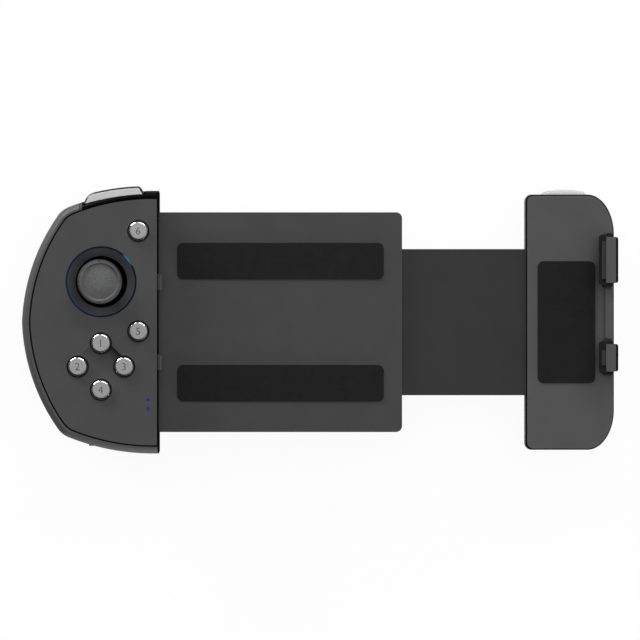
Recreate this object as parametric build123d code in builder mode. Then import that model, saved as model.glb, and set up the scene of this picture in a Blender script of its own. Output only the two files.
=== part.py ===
from build123d import *

import os
from math import atan2, degrees, hypot

# Clip-on game controller: a thumb grip, a cradle tray and a sliding clamp hand.
# Millimetres. +X runs from the grip to the hand, +Y to the shoulder buttons and
# +Z out of the face. The part lies on its back, so the table is at Z zero.

# Clearances and walls
seam_gap = 0.15        # two fixed pieces that meet at a seam
slide_gap = 0.3        # pieces that slide past each other
pin_gap = 0.05         # a pin or shaft in its bore, on the radius
overrun = 4.0          # how far a cut runs past the face it opens
shell_wall = 1.8
panel_wall = 1.6
board_thickness = 1.2

# Layout along X, from the grip to the hand
grip_width = 44.7
bumper_depth = 1.1
bay_length = 143.9
liner_depth = 1.2
claw_wall = 3.2
hand_width = 29.3
tray_length = 79.7
tray_root = 3.4        # length of the tray inside the grip

# Layout along Y
grip_length = 86.0
hand_length = 84.0
tray_width = 72.0
tongue_width = 48.0

# Layout along Z
face_top = 27.0
face_thickness = 2.0
face_drop = 8.2        # from the face down to the tray's floor
tray_depth = 6.0
belly_height = 19.0    # where the grip is widest
grip_split_height = 13.6
hand_belly_height = 15.0
hand_split_height = 12.0
bay_depth = 8.4        # from the tray's floor up to the lip liners

grip_left = -(grip_width + bumper_depth + bay_length + liner_depth + claw_wall) / 2
wall_x = grip_left + grip_width
bay_start = wall_x + bumper_depth
bay_end = bay_start + bay_length
claw_inner = bay_end + liner_depth
hand_right = claw_inner + claw_wall
hand_left = hand_right - hand_width
grip_half = grip_length / 2
hand_half = hand_length / 2
tray_half = tray_width / 2
face_bottom = face_top - face_thickness
tray_top = face_top - face_drop
tray_bottom = tray_top - tray_depth
tray_end = wall_x + tray_length
tray_start = wall_x - tray_root

# Form of the grip: points of its outline as shares of its width and half length
side_x_share, side_y_share = 0.099, 0.494
corner_x_share, corner_y_share = 0.294, 0.856
brow_x_share, brow_y_share = 0.642, 0.968
grip_corner_round = 8.0
grip_nose_round = 25.0
rim_inset = 2.95       # from the widest outline in to the seam of the face
end_inset_share = 0.865  # at the grip's two ends, insets are this share of that
face_gap = 0.4         # width of that seam
rim_land = 0.65        # flat top of the rim beside that seam
rim_drop = 0.3         # the rim ends this far below the face
ledge_width = 1.35     # the ledge that the face plate lies on
ledge_depth = 1.4
back_inset = 18.0      # depth of the quarter ellipse that rounds the back
heel_inset = 10.5      # the same, on the tray's side
back_reach_share = 0.97  # share of that quarter ellipse above the table
back_level_shares = [1.0, 0.92, 0.77, 0.55, 0.28, 0.0]
rim_level_shares = [0.5, 0.82, 1.0]
rim_top = face_top - rim_drop
ledge_bottom = face_bottom - ledge_depth

# Form of the hand
hand_corner_x = 8.7
hand_corner_y = 13.0
hand_left_round = 2.2
hand_back_inset = 9.0
hand_front_inset = 0.4
hand_edge_round = 0.6
corner_pull_share = 0.55

# Screws of the shells: head, shank and their bosses
screw_radius = 1.0
screw_head_radius = 2.0
screw_head_height = 1.4
screw_slot_width = 0.5
screw_slot_depth = 0.6
screw_play = 0.2
boss_radius = 2.5
boss_foot_radius = 3.6
grip_screw_seat = 4.5
hand_screw_seat = 3.6
grip_screw_from_left = 10.55
grip_screw_near_y = 14.0
grip_screw_from_wall = 14.2
grip_screw_from_end = 10.0
hand_screw_from_left = 6.3
hand_screw_from_right = 6.1
hand_screw_right_y = 22.0
grip_screw_far_y = grip_half - grip_screw_from_end
hand_screw_left_y = tongue_width / 2 + boss_radius + slide_gap
grip_screw_places = [
    (grip_left + grip_screw_from_left, grip_screw_near_y),
    (grip_left + grip_screw_from_left, -grip_screw_near_y),
    (wall_x - grip_screw_from_wall, grip_screw_far_y),
    (wall_x - grip_screw_from_wall, -grip_screw_far_y),
]
hand_screw_places = [
    (hand_left + hand_screw_from_left, hand_screw_left_y),
    (hand_left + hand_screw_from_left, -hand_screw_left_y),
    (hand_right - hand_screw_from_right, hand_screw_right_y),
    (hand_right - hand_screw_from_right, -hand_screw_right_y),
]

# Face buttons: four on a diamond, one by the tray and one above the stick
button_radius = 3.15
button_hole_radius = 3.6
button_proud = 1.25
button_travel = 0.9
button_flange_radius = 4.0
button_flange_height = 1.1
button_bevel = 0.75
diamond_from_wall = 18.3
diamond_y_share = -0.335   # these shares are of the grip's half length
diamond_reach_share = 0.1756
lone_from_wall = 6.15
lone_low_y_share = -0.0686
lone_high_y_share = 0.6884
diamond_x = wall_x - diamond_from_wall
diamond_y = grip_half * diamond_y_share
diamond_reach = grip_half * diamond_reach_share
lone_low_y = grip_half * lone_low_y_share
lone_high_y = grip_half * lone_high_y_share
lone_x = wall_x - lone_from_wall
button_places = [
    (diamond_x, diamond_y + diamond_reach),
    (diamond_x - diamond_reach, diamond_y),
    (diamond_x + diamond_reach, diamond_y),
    (diamond_x, diamond_y - diamond_reach),
    (lone_x, lone_low_y),
    (lone_x, lone_high_y),
]
dish_margin = 2.75     # the shallow dish in the face reaches this far past them
dish_depth = 0.9
dish_curve_radius = 50.0
dish_round = 3.0
dish_reach = diamond_reach + dish_margin

# Indicator dots
dot_radius = 0.55
dot_from_wall = 3.0
dot_y_share = -0.6198  # of the grip's half length
dot_pitch = 2.9
dot_y = grip_half * dot_y_share

# Stick and its module
stick_from_wall = 18.25
stick_y_share = 0.3047  # of the grip's half length
ring_radius = 11.5
ring_width = 0.45
well_radius = 8.4
well_dish = 1.2        # the surround slopes down by this to the well
surround_flange = 0.9
surround_flange_height = 1.0
pivot_height = 4.8     # above the main board
stick_tilt_lift = 15.8 # from the pivot to the underside of the cap
cap_radius = 7.2
cap_height = 3.0
cap_recess = 0.8       # depth of the recess that the domed pad rises in
cap_recess_slope = 0.45  # the recess is this much wider all round at its mouth
cap_dome_rise = 0.75   # the dome's middle over its edge
cap_edge_round = 1.0
cap_groove_radius = 5.6
cap_groove_width = 0.25
cap_disc_radius = 5.2
cap_disc_height = 0.8
neck_radius = 3.2
shaft_radius = 1.2
shaft_below_pivot = 2.4
skirt_radius = 9.8
skirt_wall = 1.0
skirt_foot = 4.0       # the skirt ends this far above the pivot
block_width = 4.6
block_height = 3.4
block_pin_radius = 0.7
yoke_inner = 6.0
yoke_outer = 8.4
yoke_height = 2.4
yoke_pin_radius = 0.8
can_width = 11.0
can_wall = 0.8
can_above_pivot = 3.2
can_mouth_radius = 3.9
sensor_depth = 2.0
sensor_width = 8.0
sensor_above_pivot = 1.2
stick_x = wall_x - stick_from_wall
stick_y = grip_half * stick_y_share

# Boards and battery inside the grip
main_board_bottom = 9.0
main_board_inset = 5.2
main_board_from_end = 13.0
main_board_from_wall = 3.1
main_board_top = main_board_bottom + board_thickness
main_board_half = grip_half - main_board_from_end
button_board_drop = 5.2  # from the face to the top of the board
button_board_top = face_top - button_board_drop
button_board_left_gap = 0.5
button_board_step_y = 3.0
button_board_strip = 5.2
board_edge_gap = 0.6
button_board_low_y = dot_y - dot_pitch / 2 - dot_radius - board_edge_gap
peg_radius = 1.0
mat_thickness = 0.4
mat_pad_radius = 4.0
button_board_high_y = lone_high_y + mat_pad_radius
mat_bar_width = 2.0
dome_rest = 0.4        # height of a dome pressed flat
dome_height = button_travel + dome_rest
dome_foot_radius = 3.0
dome_top_radius = 2.0
battery_width = 18.0
battery_from_end = 23.0
battery_height = 4.5
battery_from_wall = 9.65
battery_bottom = 2.9
battery_round = 1.0
battery_rib_width = 1.5
battery_rib_inset = 8.0
battery_length = 2 * (grip_half - battery_from_end)
battery_rib_y = battery_length / 2 - battery_rib_inset
post_radius = 2.0
board_post_from_wall = 7.35
board_post_inset = 6.0
board_post_y = main_board_half - board_post_inset

# Charging port, slide switch and their board
port_width = 7.4
port_height = 2.8
port_metal = 0.3
port_depth = 6.4
port_from_wall = 8.35
port_mouth_inset = 0.8
port_mouth_gap = 0.3
port_tongue_width = 5.0
port_tongue_height = 0.7
port_tongue_length = 4.4
io_board_top = 15.9
io_board_thickness = 1.0
io_board_width = 22.0
io_board_depth = 7.6
io_board_inset = 2.4
io_post_radius = 1.4
io_post_left_from_wall = 24.4
io_post_left_from_end = 8.0
io_post_right_from_wall = 8.7
io_post_right_from_end = 6.1
io_post_left_y = grip_half - io_post_left_from_end
io_post_right_y = grip_half - io_post_right_from_end
knob_width = 2.6
knob_height = 1.5
knob_travel = 0.8      # to each side
knob_from_wall = 21.65
knob_out_from_end = 2.5
knob_back_from_end = 6.4
knob_out_y = grip_half - knob_out_from_end
knob_back_y = grip_half - knob_back_from_end
slider_width = 6.4
slider_depth = 3.6
slider_height = 2.6

# L1: its plan, given by drops from the grip's half length, and its hinge
l1_left_from_wall = 24.35
l1_right_from_wall = 4.35
l1_inner_drops = [4.6, 2.3, 1.3]
l1_outer_drops = [1.2, -0.55, -1.3]
l1_top_drop = 2.4      # from the face down to its top
l1_height = 6.1
l1_travel_room = 1.5
l1_end_gap = 0.3
l1_edge_round = 0.9
l1_slant = 1.6
l1_left_round = 4.0
l1_right_round = 0.9
bezel_margin = 0.9
shelf_thickness = 1.5
shelf_from_end = 9.0
shelf_y = grip_half - shelf_from_end
l1_pin_radius = 0.75
l1_pin_from_wall = 6.15
l1_pin_from_end = 4.4
l1_pin_y = grip_half - l1_pin_from_end
l1_lug_radius = 1.8
l1_lug_height = 2.6
l1_switch_width = 5.0
l1_switch_depth = 3.0
l1_switch_height = 3.6
l1_switch_from_wall = 21.2
l1_switch_from_end = 8.8
l1_switch_back_y = grip_half - l1_switch_from_end
l1_plunger_radius = 0.9
l1_plunger_length = 0.6

# Palm pad on the back
palm_depth = 0.8
palm_margin = 3.0
palm_heel = 2.5
palm_top = 9.0

# Wall bumpers
bumper_length = 5.1
bumper_y = 13.1
bumper_bottom_drop = 6.5
bumper_top_drop = 1.2
bumper_round = 0.4

# Tray, tongue and what slides between them
tray_side_wall = 1.6
tray_end_wall = 3.0
tray_corner_round = 2.0
tray_edge_round = 0.8
tray_pad_width = 12.0
tray_pad_y = 20.0
tray_pad_end_gap = 6.0
pad_depth = 0.6
pad_proud = 0.3
tongue_overlap = 40.0  # length of tongue inside the tray at rest
tongue_in_hand = 12.0
tongue_stop = 4.0      # length of the stop bar at its inner end
ribbon_width = 8.0
ribbon_thickness = 0.2
ribbon_groove_depth = 0.6
tray_screw_radius = 0.7
tray_screw_head_radius = 1.3
tray_screw_head_height = 0.8
tray_screw_y = 30.0
tray_screw_tip_drop = 0.8
tray_screw_root_inset = 1.7
spring_radius = 1.2
spring_wire = 0.35
spring_y = 29.2
tongue_screw_radius = 0.8
tongue_screw_head_radius = 1.8
tongue_screw_head_height = 1.2
tongue_screw_inset = 6.0
tongue_screw_y = 15.0
tongue_screw_bite = 1.0

# Claws and their liners: centre and length along Y, as shares of the hand's half length
claw_centre_shares = {"upper_claw": 0.4798, "lower_claw": -0.2738}
claw_length_shares = {"upper_claw": 0.3548, "lower_claw": 0.2119}
claw_centres = {name: share * hand_half for name, share in claw_centre_shares.items()}
claw_lengths = {name: share * hand_half for name, share in claw_length_shares.items()}
claw_lip_insets = {"upper_claw": 1.3, "lower_claw": 2.0}
claw_lip_reach = 2.25
claw_lip_thickness = 1.1
claw_crown_reach = 0.8   # the crown over the wall starts this far over the bay
claw_crown_height = 0.5  # and stands this far over the lip
claw_tenon_wall = 1.1
claw_tenon_depth = 3.0
claw_edge_round = 0.9
liner_lip_reach = 1.75
liner_lip_depth = 0.9
liner_lip_end = 0.7
liner_end_wall = 1.3
liner_back_gap = 1.6
liner_crown_drop = 0.8
liner_end_round = 0.9
liner_edge_round = 0.4
ridge_height = 1.5
ridge_gap = 0.4

# R1 and its board, inside the hand
r1_width = 14.2
r1_height = 6.8
r1_centre_height = 12.0
r1_from_left = 12.95
r1_proud = 1.6
r1_end_drop = 0.7
r1_gap = 0.25
r1_bevel = 0.7
r1_flange_margin = 0.7
r1_flange_depth = 1.2
r1_flange_drop = 3.7   # from the hand's half length to the flange
r1_travel = 0.8
r1_switch_width = 6.0
r1_switch_depth = 4.0
r1_switch_height = 5.0
r1_plunger_radius = 1.1
r1_plunger_length = 0.5
r1_plunger_gap = r1_travel + seam_gap
trigger_board_top = 9.4
trigger_board_thickness = 1.0
trigger_board_from_left = 9.3
trigger_board_width = 10.0
trigger_board_low_y = -6.0
trigger_post_inset = 2.0
trigger_post_radius = 1.5
hand_pad_left_gap = 4.0
hand_pad_right_gap = 2.0
hand_pad_half = 20.0
hand_pad_round = 2.0


def curve_inset(share, full):
    """How far a rounded form is drawn in at a share of its height."""
    return full * (1 - (1 - share ** 2) ** 0.5)


def grip_outline(inset, heel=0):
    """The grip's outline, drawn in by inset, and by heel on the tray's side."""
    left, right = grip_left + inset, wall_x - heel
    half = grip_half - inset * end_inset_share
    width = right - left
    side = (left + width * side_x_share, half * side_y_share)
    corner = (left + width * corner_x_share, half * corner_y_share)
    brow = (left + width * brow_x_share, half * brow_y_share)
    with BuildSketch() as outline:
        with BuildLine():
            ThreePointArc((left, 0), side, corner)
            ThreePointArc(corner, brow, (right, half))
            Line((right, half), (right, 0))
            mirror(about=Plane.XZ)
        make_face()
        fillet(outline.vertices().sort_by(Axis.X)[1:3], grip_corner_round)
        fillet(outline.vertices().sort_by(Axis.X)[0], grip_nose_round)
    return outline.sketch


def grip_form(depth):
    """The grip's rounded solid, with its surface moved in by depth."""
    with BuildPart() as form:
        for share in back_level_shares:
            level = belly_height * (1 - share)
            heel_share = max(tray_bottom - level, 0) / tray_bottom
            inset = curve_inset(share * back_reach_share, back_inset)
            heel = curve_inset(heel_share * back_reach_share, heel_inset)
            with BuildSketch(Plane.XY.offset(level + depth * share)):
                add(grip_outline(inset + depth, heel + depth))
        for share in rim_level_shares:
            level = belly_height + (rim_top - belly_height) * share
            inset = curve_inset(share, rim_inset - rim_land)
            with BuildSketch(Plane.XY.offset(level)):
                add(grip_outline(inset + depth, depth))
        loft()
    return form.part


def hand_outline(inset):
    """The hand's outline, with two large corners on its outer side."""
    left, right, half = hand_left + inset, hand_right - inset, hand_half - inset
    corner_start = (right - hand_corner_x, half)
    corner_end = (right, half - hand_corner_y)
    pull_x = hand_corner_x * corner_pull_share
    pull_y = hand_corner_y * corner_pull_share
    with BuildSketch() as outline:
        with BuildLine():
            Polyline((left, 0), (left, half), corner_start)
            Bezier(
                corner_start,
                (corner_start[0] + pull_x, half),
                (right, corner_end[1] + pull_y),
                corner_end,
            )
            Line(corner_end, (right, 0))
            mirror(about=Plane.XZ)
        make_face()
        ends = outline.vertices().filter_by(lambda v: abs(v.Y) > half / 2)
        fillet(ends.sort_by(Axis.X)[0:2], hand_left_round)
    return outline.sketch


def hand_form(depth):
    """The hand's rounded solid, with its surface moved in by depth."""
    with BuildPart() as form:
        for share in back_level_shares:
            level = hand_belly_height * (1 - share)
            inset = curve_inset(share * back_reach_share, hand_back_inset)
            with BuildSketch(Plane.XY.offset(level + depth * share)):
                add(hand_outline(inset + depth))
        with BuildSketch(Plane.XY.offset(tray_top)):
            add(hand_outline(hand_front_inset + depth))
        loft()
    return form.part


def below(form, level):
    """The part of a solid that lies below a level."""
    with BuildPart() as kept:
        add(form)
        split(bisect_by=Plane.XY.offset(level), keep=Keep.BOTTOM)
    return kept.part


def bar(start, end, width):
    """A straight strip between two points."""
    run_x, run_y = end[0] - start[0], end[1] - start[1]
    with BuildSketch() as strip:
        with Locations(((start[0] + end[0]) / 2, (start[1] + end[1]) / 2)):
            Rectangle(hypot(run_x, run_y), width, rotation=degrees(atan2(run_y, run_x)))
    return strip.sketch


def screws(places, seat, tip, radius, head_radius, head_height):
    """Pan head screws that point up, as separate solids, with slotted heads."""
    with BuildPart() as group:
        for x, y in places:
            with BuildSketch(Plane((x, y, seat - head_height))):
                Circle(head_radius)
            extrude(amount=head_height)
            with BuildSketch(Plane((x, y, seat))):
                Circle(radius)
            extrude(amount=tip - seat)
            with BuildSketch(Plane((x, y, seat - head_height))):
                Rectangle(2 * head_radius, screw_slot_width * head_radius / screw_head_radius)
                Rectangle(screw_slot_width * head_radius / screw_head_radius, 2 * head_radius)
            extrude(amount=screw_slot_depth * head_height / screw_head_height, mode=Mode.SUBTRACT)
    return group


pieces = {}

# The grip's outside and its hollow, shared by the shells
grip_skin = grip_form(0)
grip_core = grip_form(shell_wall)
palm_core = grip_form(palm_depth)
grip_cut = Plane.XY.offset(grip_split_height)

# Region of the shoulder bezel and room for L1 within it
l1_left = wall_x - l1_left_from_wall
l1_right = wall_x - l1_right_from_wall
l1_top = face_top - l1_top_drop
l1_bottom = l1_top - l1_height
l1_mid = (l1_left + l1_right) / 2
l1_inner_y = [grip_half - drop for drop in l1_inner_drops]
l1_outer_y = [grip_half - drop for drop in l1_outer_drops]
shelf_top = l1_bottom - slide_gap
shelf_bottom = shelf_top - shelf_thickness
bezel_left = l1_left - bezel_margin
l1_room_y = grip_half - l1_inner_drops[0] - l1_travel_room


def bezel_zone(gap):
    """Box that holds the shoulder bezel, grown by gap."""
    low = shelf_bottom - gap
    with BuildPart() as zone:
        with BuildSketch(Plane.XY.offset(low)):
            with Locations((bezel_left - gap, shelf_y - gap)):
                Rectangle(
                    wall_x + overrun - bezel_left,
                    grip_half + overrun - shelf_y,
                    align=(Align.MIN, Align.MIN),
                )
        extrude(amount=face_top - low)
    return zone.part


def tray_gate():
    """Block that cuts the way in for the tray through the grip's wall."""
    with BuildPart() as block:
        with Locations((wall_x, 0, (tray_top + tray_bottom) / 2)):
            Box(2 * (tray_root + slide_gap), tray_width + 2 * seam_gap, tray_depth + 2 * seam_gap)
    return block.part


def front_ring():
    """Rim, wall and ledge of the grip's front, before the bezel is cut out."""
    with BuildPart() as ring:
        add(grip_skin)
        split(bisect_by=grip_cut, keep=Keep.TOP)
        add(below(grip_core, ledge_bottom), mode=Mode.SUBTRACT)
        with BuildSketch(Plane.XY.offset(ledge_bottom)):
            add(grip_outline(rim_inset + ledge_width, shell_wall))
        extrude(amount=ledge_depth + face_thickness, mode=Mode.SUBTRACT)
        with BuildSketch(Plane.XY.offset(face_bottom)):
            add(grip_outline(rim_inset))
            with Locations((wall_x, 0)):
                Rectangle(2 * shell_wall, 2 * (grip_half - rim_inset * end_inset_share))
        extrude(amount=face_thickness, mode=Mode.SUBTRACT)
    return ring.part


def io_posts():
    """Two posts that carry the board of the charging port."""
    with BuildPart() as posts:
        with BuildSketch():
            with Locations(
                (wall_x - io_post_left_from_wall, -io_post_left_y),
                (wall_x - io_post_right_from_wall, -io_post_right_y),
            ):
                Circle(io_post_radius)
        extrude(amount=io_board_top - io_board_thickness)
    return posts.part


def palm_zone(gap):
    """Layer of the grip's back under the palm pad's outline, grown by gap."""
    with BuildPart() as zone:
        with BuildSketch(Plane.XY):
            add(grip_outline(palm_margin - gap, palm_heel - gap))
        extrude(amount=palm_top)
        add(palm_core, mode=Mode.SUBTRACT)
    return zone.part


def face_dish():
    """What the shallow dish between four buttons takes out of the face."""
    with BuildPart() as dish:
        with BuildSketch(Plane((diamond_x, diamond_y, face_bottom))):
            RectangleRounded(
                dish_reach * 2 ** 0.5, dish_reach * 2 ** 0.5, dish_round, rotation=45,
            )
        extrude(amount=face_thickness)
        with Locations((diamond_x, diamond_y, face_top - dish_depth + dish_curve_radius)):
            Sphere(dish_curve_radius, mode=Mode.INTERSECT)
    return dish.part


ring_form = front_ring()

with BuildPart() as front_shell:
    add(ring_form)
    add(bezel_zone(seam_gap), mode=Mode.SUBTRACT)
    add(tray_gate(), mode=Mode.SUBTRACT)
    # Mouth of the charging port
    port_x = wall_x - port_from_wall
    port_z = io_board_top + port_height / 2
    with BuildSketch(Plane((port_x, -grip_half, port_z), x_dir=(1, 0, 0), z_dir=(0, 1, 0))):
        SlotOverall(port_width + 2 * port_mouth_gap, port_height + 2 * port_mouth_gap)
    extrude(amount=overrun, mode=Mode.SUBTRACT)
    # Slot of the slide switch
    knob_x = wall_x - knob_from_wall
    knob_z = io_board_top + slider_height / 2
    slot_width = knob_width + 2 * (knob_travel + slide_gap)
    with BuildSketch(Plane((knob_x, -knob_back_y, knob_z), x_dir=(1, 0, 0), z_dir=(0, -1, 0))):
        Rectangle(slot_width, knob_height + 2 * slide_gap)
    extrude(amount=2 * overrun, mode=Mode.SUBTRACT)
pieces["front_shell"] = front_shell

with BuildPart() as shoulder_bezel:
    add(ring_form)
    # Shelf that carries L1
    with BuildSketch(Plane.XY.offset(shelf_bottom)):
        add(grip_outline(shell_wall / 2, shell_wall / 2))
    extrude(amount=shelf_thickness)
    # Cheek at the tray's end of L1
    with BuildSketch(Plane.XY.offset(shelf_bottom)):
        add(grip_outline(shell_wall / 2, shell_wall / 2))
        with Locations((l1_right, l1_room_y)):
            Rectangle(grip_width, grip_length, align=(Align.MIN, Align.MIN), mode=Mode.INTERSECT)
    extrude(amount=ledge_bottom - shelf_bottom)
    add(bezel_zone(0), mode=Mode.INTERSECT)
    # Room for L1 and its travel, and the window that shows it
    with BuildSketch(Plane.XY.offset(shelf_top)):
        with Locations((l1_left - l1_end_gap, l1_room_y)):
            Rectangle(
                l1_right - l1_left + 2 * l1_end_gap,
                grip_half + overrun - l1_room_y,
                align=(Align.MIN, Align.MIN),
            )
    extrude(amount=l1_height + 2 * slide_gap, mode=Mode.SUBTRACT)
    with BuildSketch(Plane.XY.offset(l1_top)):
        with BuildLine():
            window = ThreePointArc(
                (l1_left - l1_end_gap, l1_inner_y[0] - slide_gap),
                (l1_mid, l1_inner_y[1] - slide_gap),
                (l1_right + l1_end_gap, l1_inner_y[2] - slide_gap),
            )
            Polyline(
                window @ 1,
                (l1_right + l1_end_gap, grip_half + overrun),
                (l1_left - l1_end_gap, grip_half + overrun),
                window @ 0,
            )
        make_face()
    extrude(amount=face_top - l1_top, mode=Mode.SUBTRACT)
    # Room for the tray's root and for the face plate's boss
    add(tray_gate(), mode=Mode.SUBTRACT)
    with BuildSketch(Plane.XY.offset(shelf_bottom)):
        with Locations(*grip_screw_places):
            Circle(boss_radius + seam_gap)
    extrude(amount=shelf_thickness, mode=Mode.SUBTRACT)
    # Hole for the hinge pin
    l1_pin_x = wall_x - l1_pin_from_wall
    with BuildSketch(Plane((l1_pin_x, l1_pin_y, shelf_bottom))):
        Circle(l1_pin_radius)
    extrude(amount=shelf_thickness, mode=Mode.SUBTRACT)
pieces["shoulder_bezel"] = shoulder_bezel

with BuildPart() as rear_shell:
    add(grip_skin)
    add(grip_core, mode=Mode.SUBTRACT)
    # Bosses for the screws, posts for the boards and ribs under the battery
    for x, y in grip_screw_places:
        with BuildSketch(Plane((x, y, 0))):
            Circle(boss_foot_radius)
        extrude(amount=main_board_bottom)
        with BuildSketch(Plane((x, y, 0))):
            Circle(boss_radius)
        extrude(amount=grip_split_height)
    with BuildSketch():
        with Locations(
            (wall_x - board_post_from_wall, board_post_y),
            (wall_x - board_post_from_wall, -board_post_y),
        ):
            Circle(post_radius)
    extrude(amount=main_board_bottom)
    battery_x = wall_x - battery_from_wall - battery_width / 2
    with BuildSketch():
        with Locations((battery_x, battery_rib_y), (battery_x, -battery_rib_y)):
            Rectangle(battery_width, battery_rib_width)
    extrude(amount=battery_bottom)
    split(bisect_by=grip_cut, keep=Keep.BOTTOM)
    add(io_posts())
    add(grip_skin, mode=Mode.INTERSECT)
    add(tray_gate(), mode=Mode.SUBTRACT)
    # Recess for the palm pad
    add(palm_zone(seam_gap), mode=Mode.SUBTRACT)
    # Screw holes, sunk from the back
    for x, y in grip_screw_places:
        with BuildSketch(Plane((x, y, 0))):
            Circle(screw_head_radius + screw_play)
        extrude(amount=grip_screw_seat, mode=Mode.SUBTRACT)
        with BuildSketch(Plane((x, y, 0))):
            Circle(screw_radius + screw_play)
        extrude(amount=grip_split_height, mode=Mode.SUBTRACT)
pieces["rear_shell"] = rear_shell

with BuildPart() as palm_pad:
    add(palm_zone(0))
    add(grip_skin, mode=Mode.INTERSECT)
    with BuildSketch():
        with Locations(*grip_screw_places):
            Circle(boss_foot_radius)
    extrude(amount=palm_top, mode=Mode.SUBTRACT)
pieces["palm_pad"] = palm_pad

peg_places = [
    (diamond_x - diamond_reach - mat_pad_radius + peg_radius, diamond_y + diamond_reach + peg_radius),
    (diamond_x - diamond_reach - mat_pad_radius + peg_radius, diamond_y - diamond_reach - peg_radius),
    (lone_x + peg_radius, diamond_y - mat_pad_radius),
    (lone_x + mat_bar_width + peg_radius / 2, stick_y + mat_pad_radius),
]

with BuildPart() as face_plate:
    with BuildSketch(Plane.XY.offset(face_bottom)):
        add(grip_outline(rim_inset + face_gap))
    extrude(amount=face_thickness)
    chamfer(face_plate.faces().sort_by(Axis.Z)[-1].edges(), seam_gap)
    # Bosses for the screws and pegs for the button board
    for x, y in grip_screw_places:
        with BuildSketch(Plane((x, y, grip_split_height + seam_gap))):
            Circle(boss_radius)
        extrude(amount=face_bottom - grip_split_height - seam_gap)
    with BuildSketch(Plane.XY.offset(button_board_top)):
        with Locations(*peg_places):
            Circle(peg_radius)
    extrude(amount=face_bottom - button_board_top)
    for x, y in grip_screw_places:
        with BuildSketch(Plane((x, y, grip_split_height + seam_gap))):
            Circle(screw_radius)
        extrude(amount=belly_height - grip_split_height, mode=Mode.SUBTRACT)
    # Shallow dish between the four buttons of the diamond
    add(face_dish(), mode=Mode.SUBTRACT)
    # Openings for the buttons, the stick and the indicator dots
    with BuildSketch(Plane.XY.offset(face_bottom)):
        with Locations(*button_places):
            Circle(button_hole_radius)
        with Locations((stick_x, stick_y)):
            Circle(ring_radius + pin_gap)
        with Locations((wall_x - dot_from_wall, dot_y)):
            with GridLocations(0, dot_pitch, 1, 2):
                Circle(dot_radius)
    extrude(amount=face_thickness, mode=Mode.SUBTRACT)
pieces["face_plate"] = face_plate


def turned(points, centre_x, centre_y):
    """A solid of revolution from a closed profile of radius and height pairs."""
    profile_plane = Plane((centre_x, centre_y, 0), x_dir=(1, 0, 0), z_dir=(0, -1, 0))
    with BuildPart() as solid:
        with BuildSketch(profile_plane):
            with BuildLine():
                Polyline(*points, close=True)
            make_face()
        revolve(axis=Axis((centre_x, centre_y, 0), (0, 0, 1)))
    return solid


# Stick surround and light ring
collar_radius = ring_radius - ring_width
surround_bottom = face_bottom - surround_flange_height
stick_surround = turned(
    [
        (well_radius, surround_bottom),
        (ring_radius + surround_flange, surround_bottom),
        (ring_radius + surround_flange, face_bottom),
        (collar_radius - pin_gap, face_bottom),
        (collar_radius - pin_gap, face_top - seam_gap),
        (well_radius, face_top - well_dish),
    ],
    stick_x, stick_y,
)
pieces["stick_surround"] = stick_surround

with BuildPart() as light_ring:
    with BuildSketch(Plane((stick_x, stick_y, face_bottom))):
        Circle(ring_radius)
        Circle(collar_radius, mode=Mode.SUBTRACT)
    extrude(amount=face_thickness)
pieces["light_ring"] = light_ring

with BuildPart() as light_pipes:
    with BuildSketch(Plane.XY.offset(button_board_top)):
        with Locations((wall_x - dot_from_wall, dot_y)):
            with GridLocations(0, dot_pitch, 1, 2):
                Circle(dot_radius)
    extrude(amount=button_board_drop + pin_gap)
pieces["light_pipes"] = light_pipes

# Boards, keypad and battery
with BuildPart() as main_board:
    with BuildSketch(Plane.XY.offset(main_board_bottom)):
        add(grip_outline(main_board_inset, main_board_from_wall))
        Rectangle(2 * grip_length, 2 * main_board_half, mode=Mode.INTERSECT)
        with Locations(*grip_screw_places):
            Circle(boss_radius + slide_gap, mode=Mode.SUBTRACT)
    extrude(amount=board_thickness)
pieces["main_board"] = main_board

button_board_left = grip_screw_places[0][0] + boss_radius + button_board_left_gap
button_board_right = wall_x - shell_wall - board_edge_gap
with BuildPart() as button_board:
    with BuildSketch(Plane.XY.offset(button_board_top - board_thickness)):
        with Locations((button_board_right, button_board_low_y)):
            Rectangle(
                button_board_right - button_board_left,
                button_board_step_y - button_board_low_y,
                align=(Align.MAX, Align.MIN),
            )
            Rectangle(
                button_board_strip,
                button_board_high_y - button_board_low_y,
                align=(Align.MAX, Align.MIN),
            )
        with Locations((stick_x, stick_y)):
            Circle(ring_radius, mode=Mode.SUBTRACT)
        with Locations(*grip_screw_places):
            Circle(boss_radius + slide_gap, mode=Mode.SUBTRACT)
    extrude(amount=board_thickness)
pieces["button_board"] = button_board

with BuildPart() as keypad_mat:
    with BuildSketch(Plane.XY.offset(button_board_top)):
        with Locations(*button_places):
            Circle(mat_pad_radius)
        add(bar(button_places[0], button_places[3], mat_bar_width))
        add(bar(button_places[1], button_places[2], mat_bar_width))
        add(bar(button_places[2], button_places[4], mat_bar_width))
        add(bar(button_places[4], button_places[5], mat_bar_width))
        with Locations(*peg_places):
            Circle(peg_radius + slide_gap, mode=Mode.SUBTRACT)
    extrude(amount=mat_thickness)
    with Locations(*[(x, y, button_board_top + mat_thickness) for x, y in button_places]):
        Cone(
            dome_foot_radius, dome_top_radius, dome_height,
            align=(Align.CENTER, Align.CENTER, Align.MIN),
        )
pieces["keypad_mat"] = keypad_mat

with BuildPart() as battery:
    with BuildSketch(Plane((battery_x, 0, battery_bottom))):
        Rectangle(battery_width, battery_length)
    extrude(amount=battery_height)
    fillet(battery.edges().filter_by(Axis.Y), battery_round)
pieces["battery"] = battery

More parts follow.
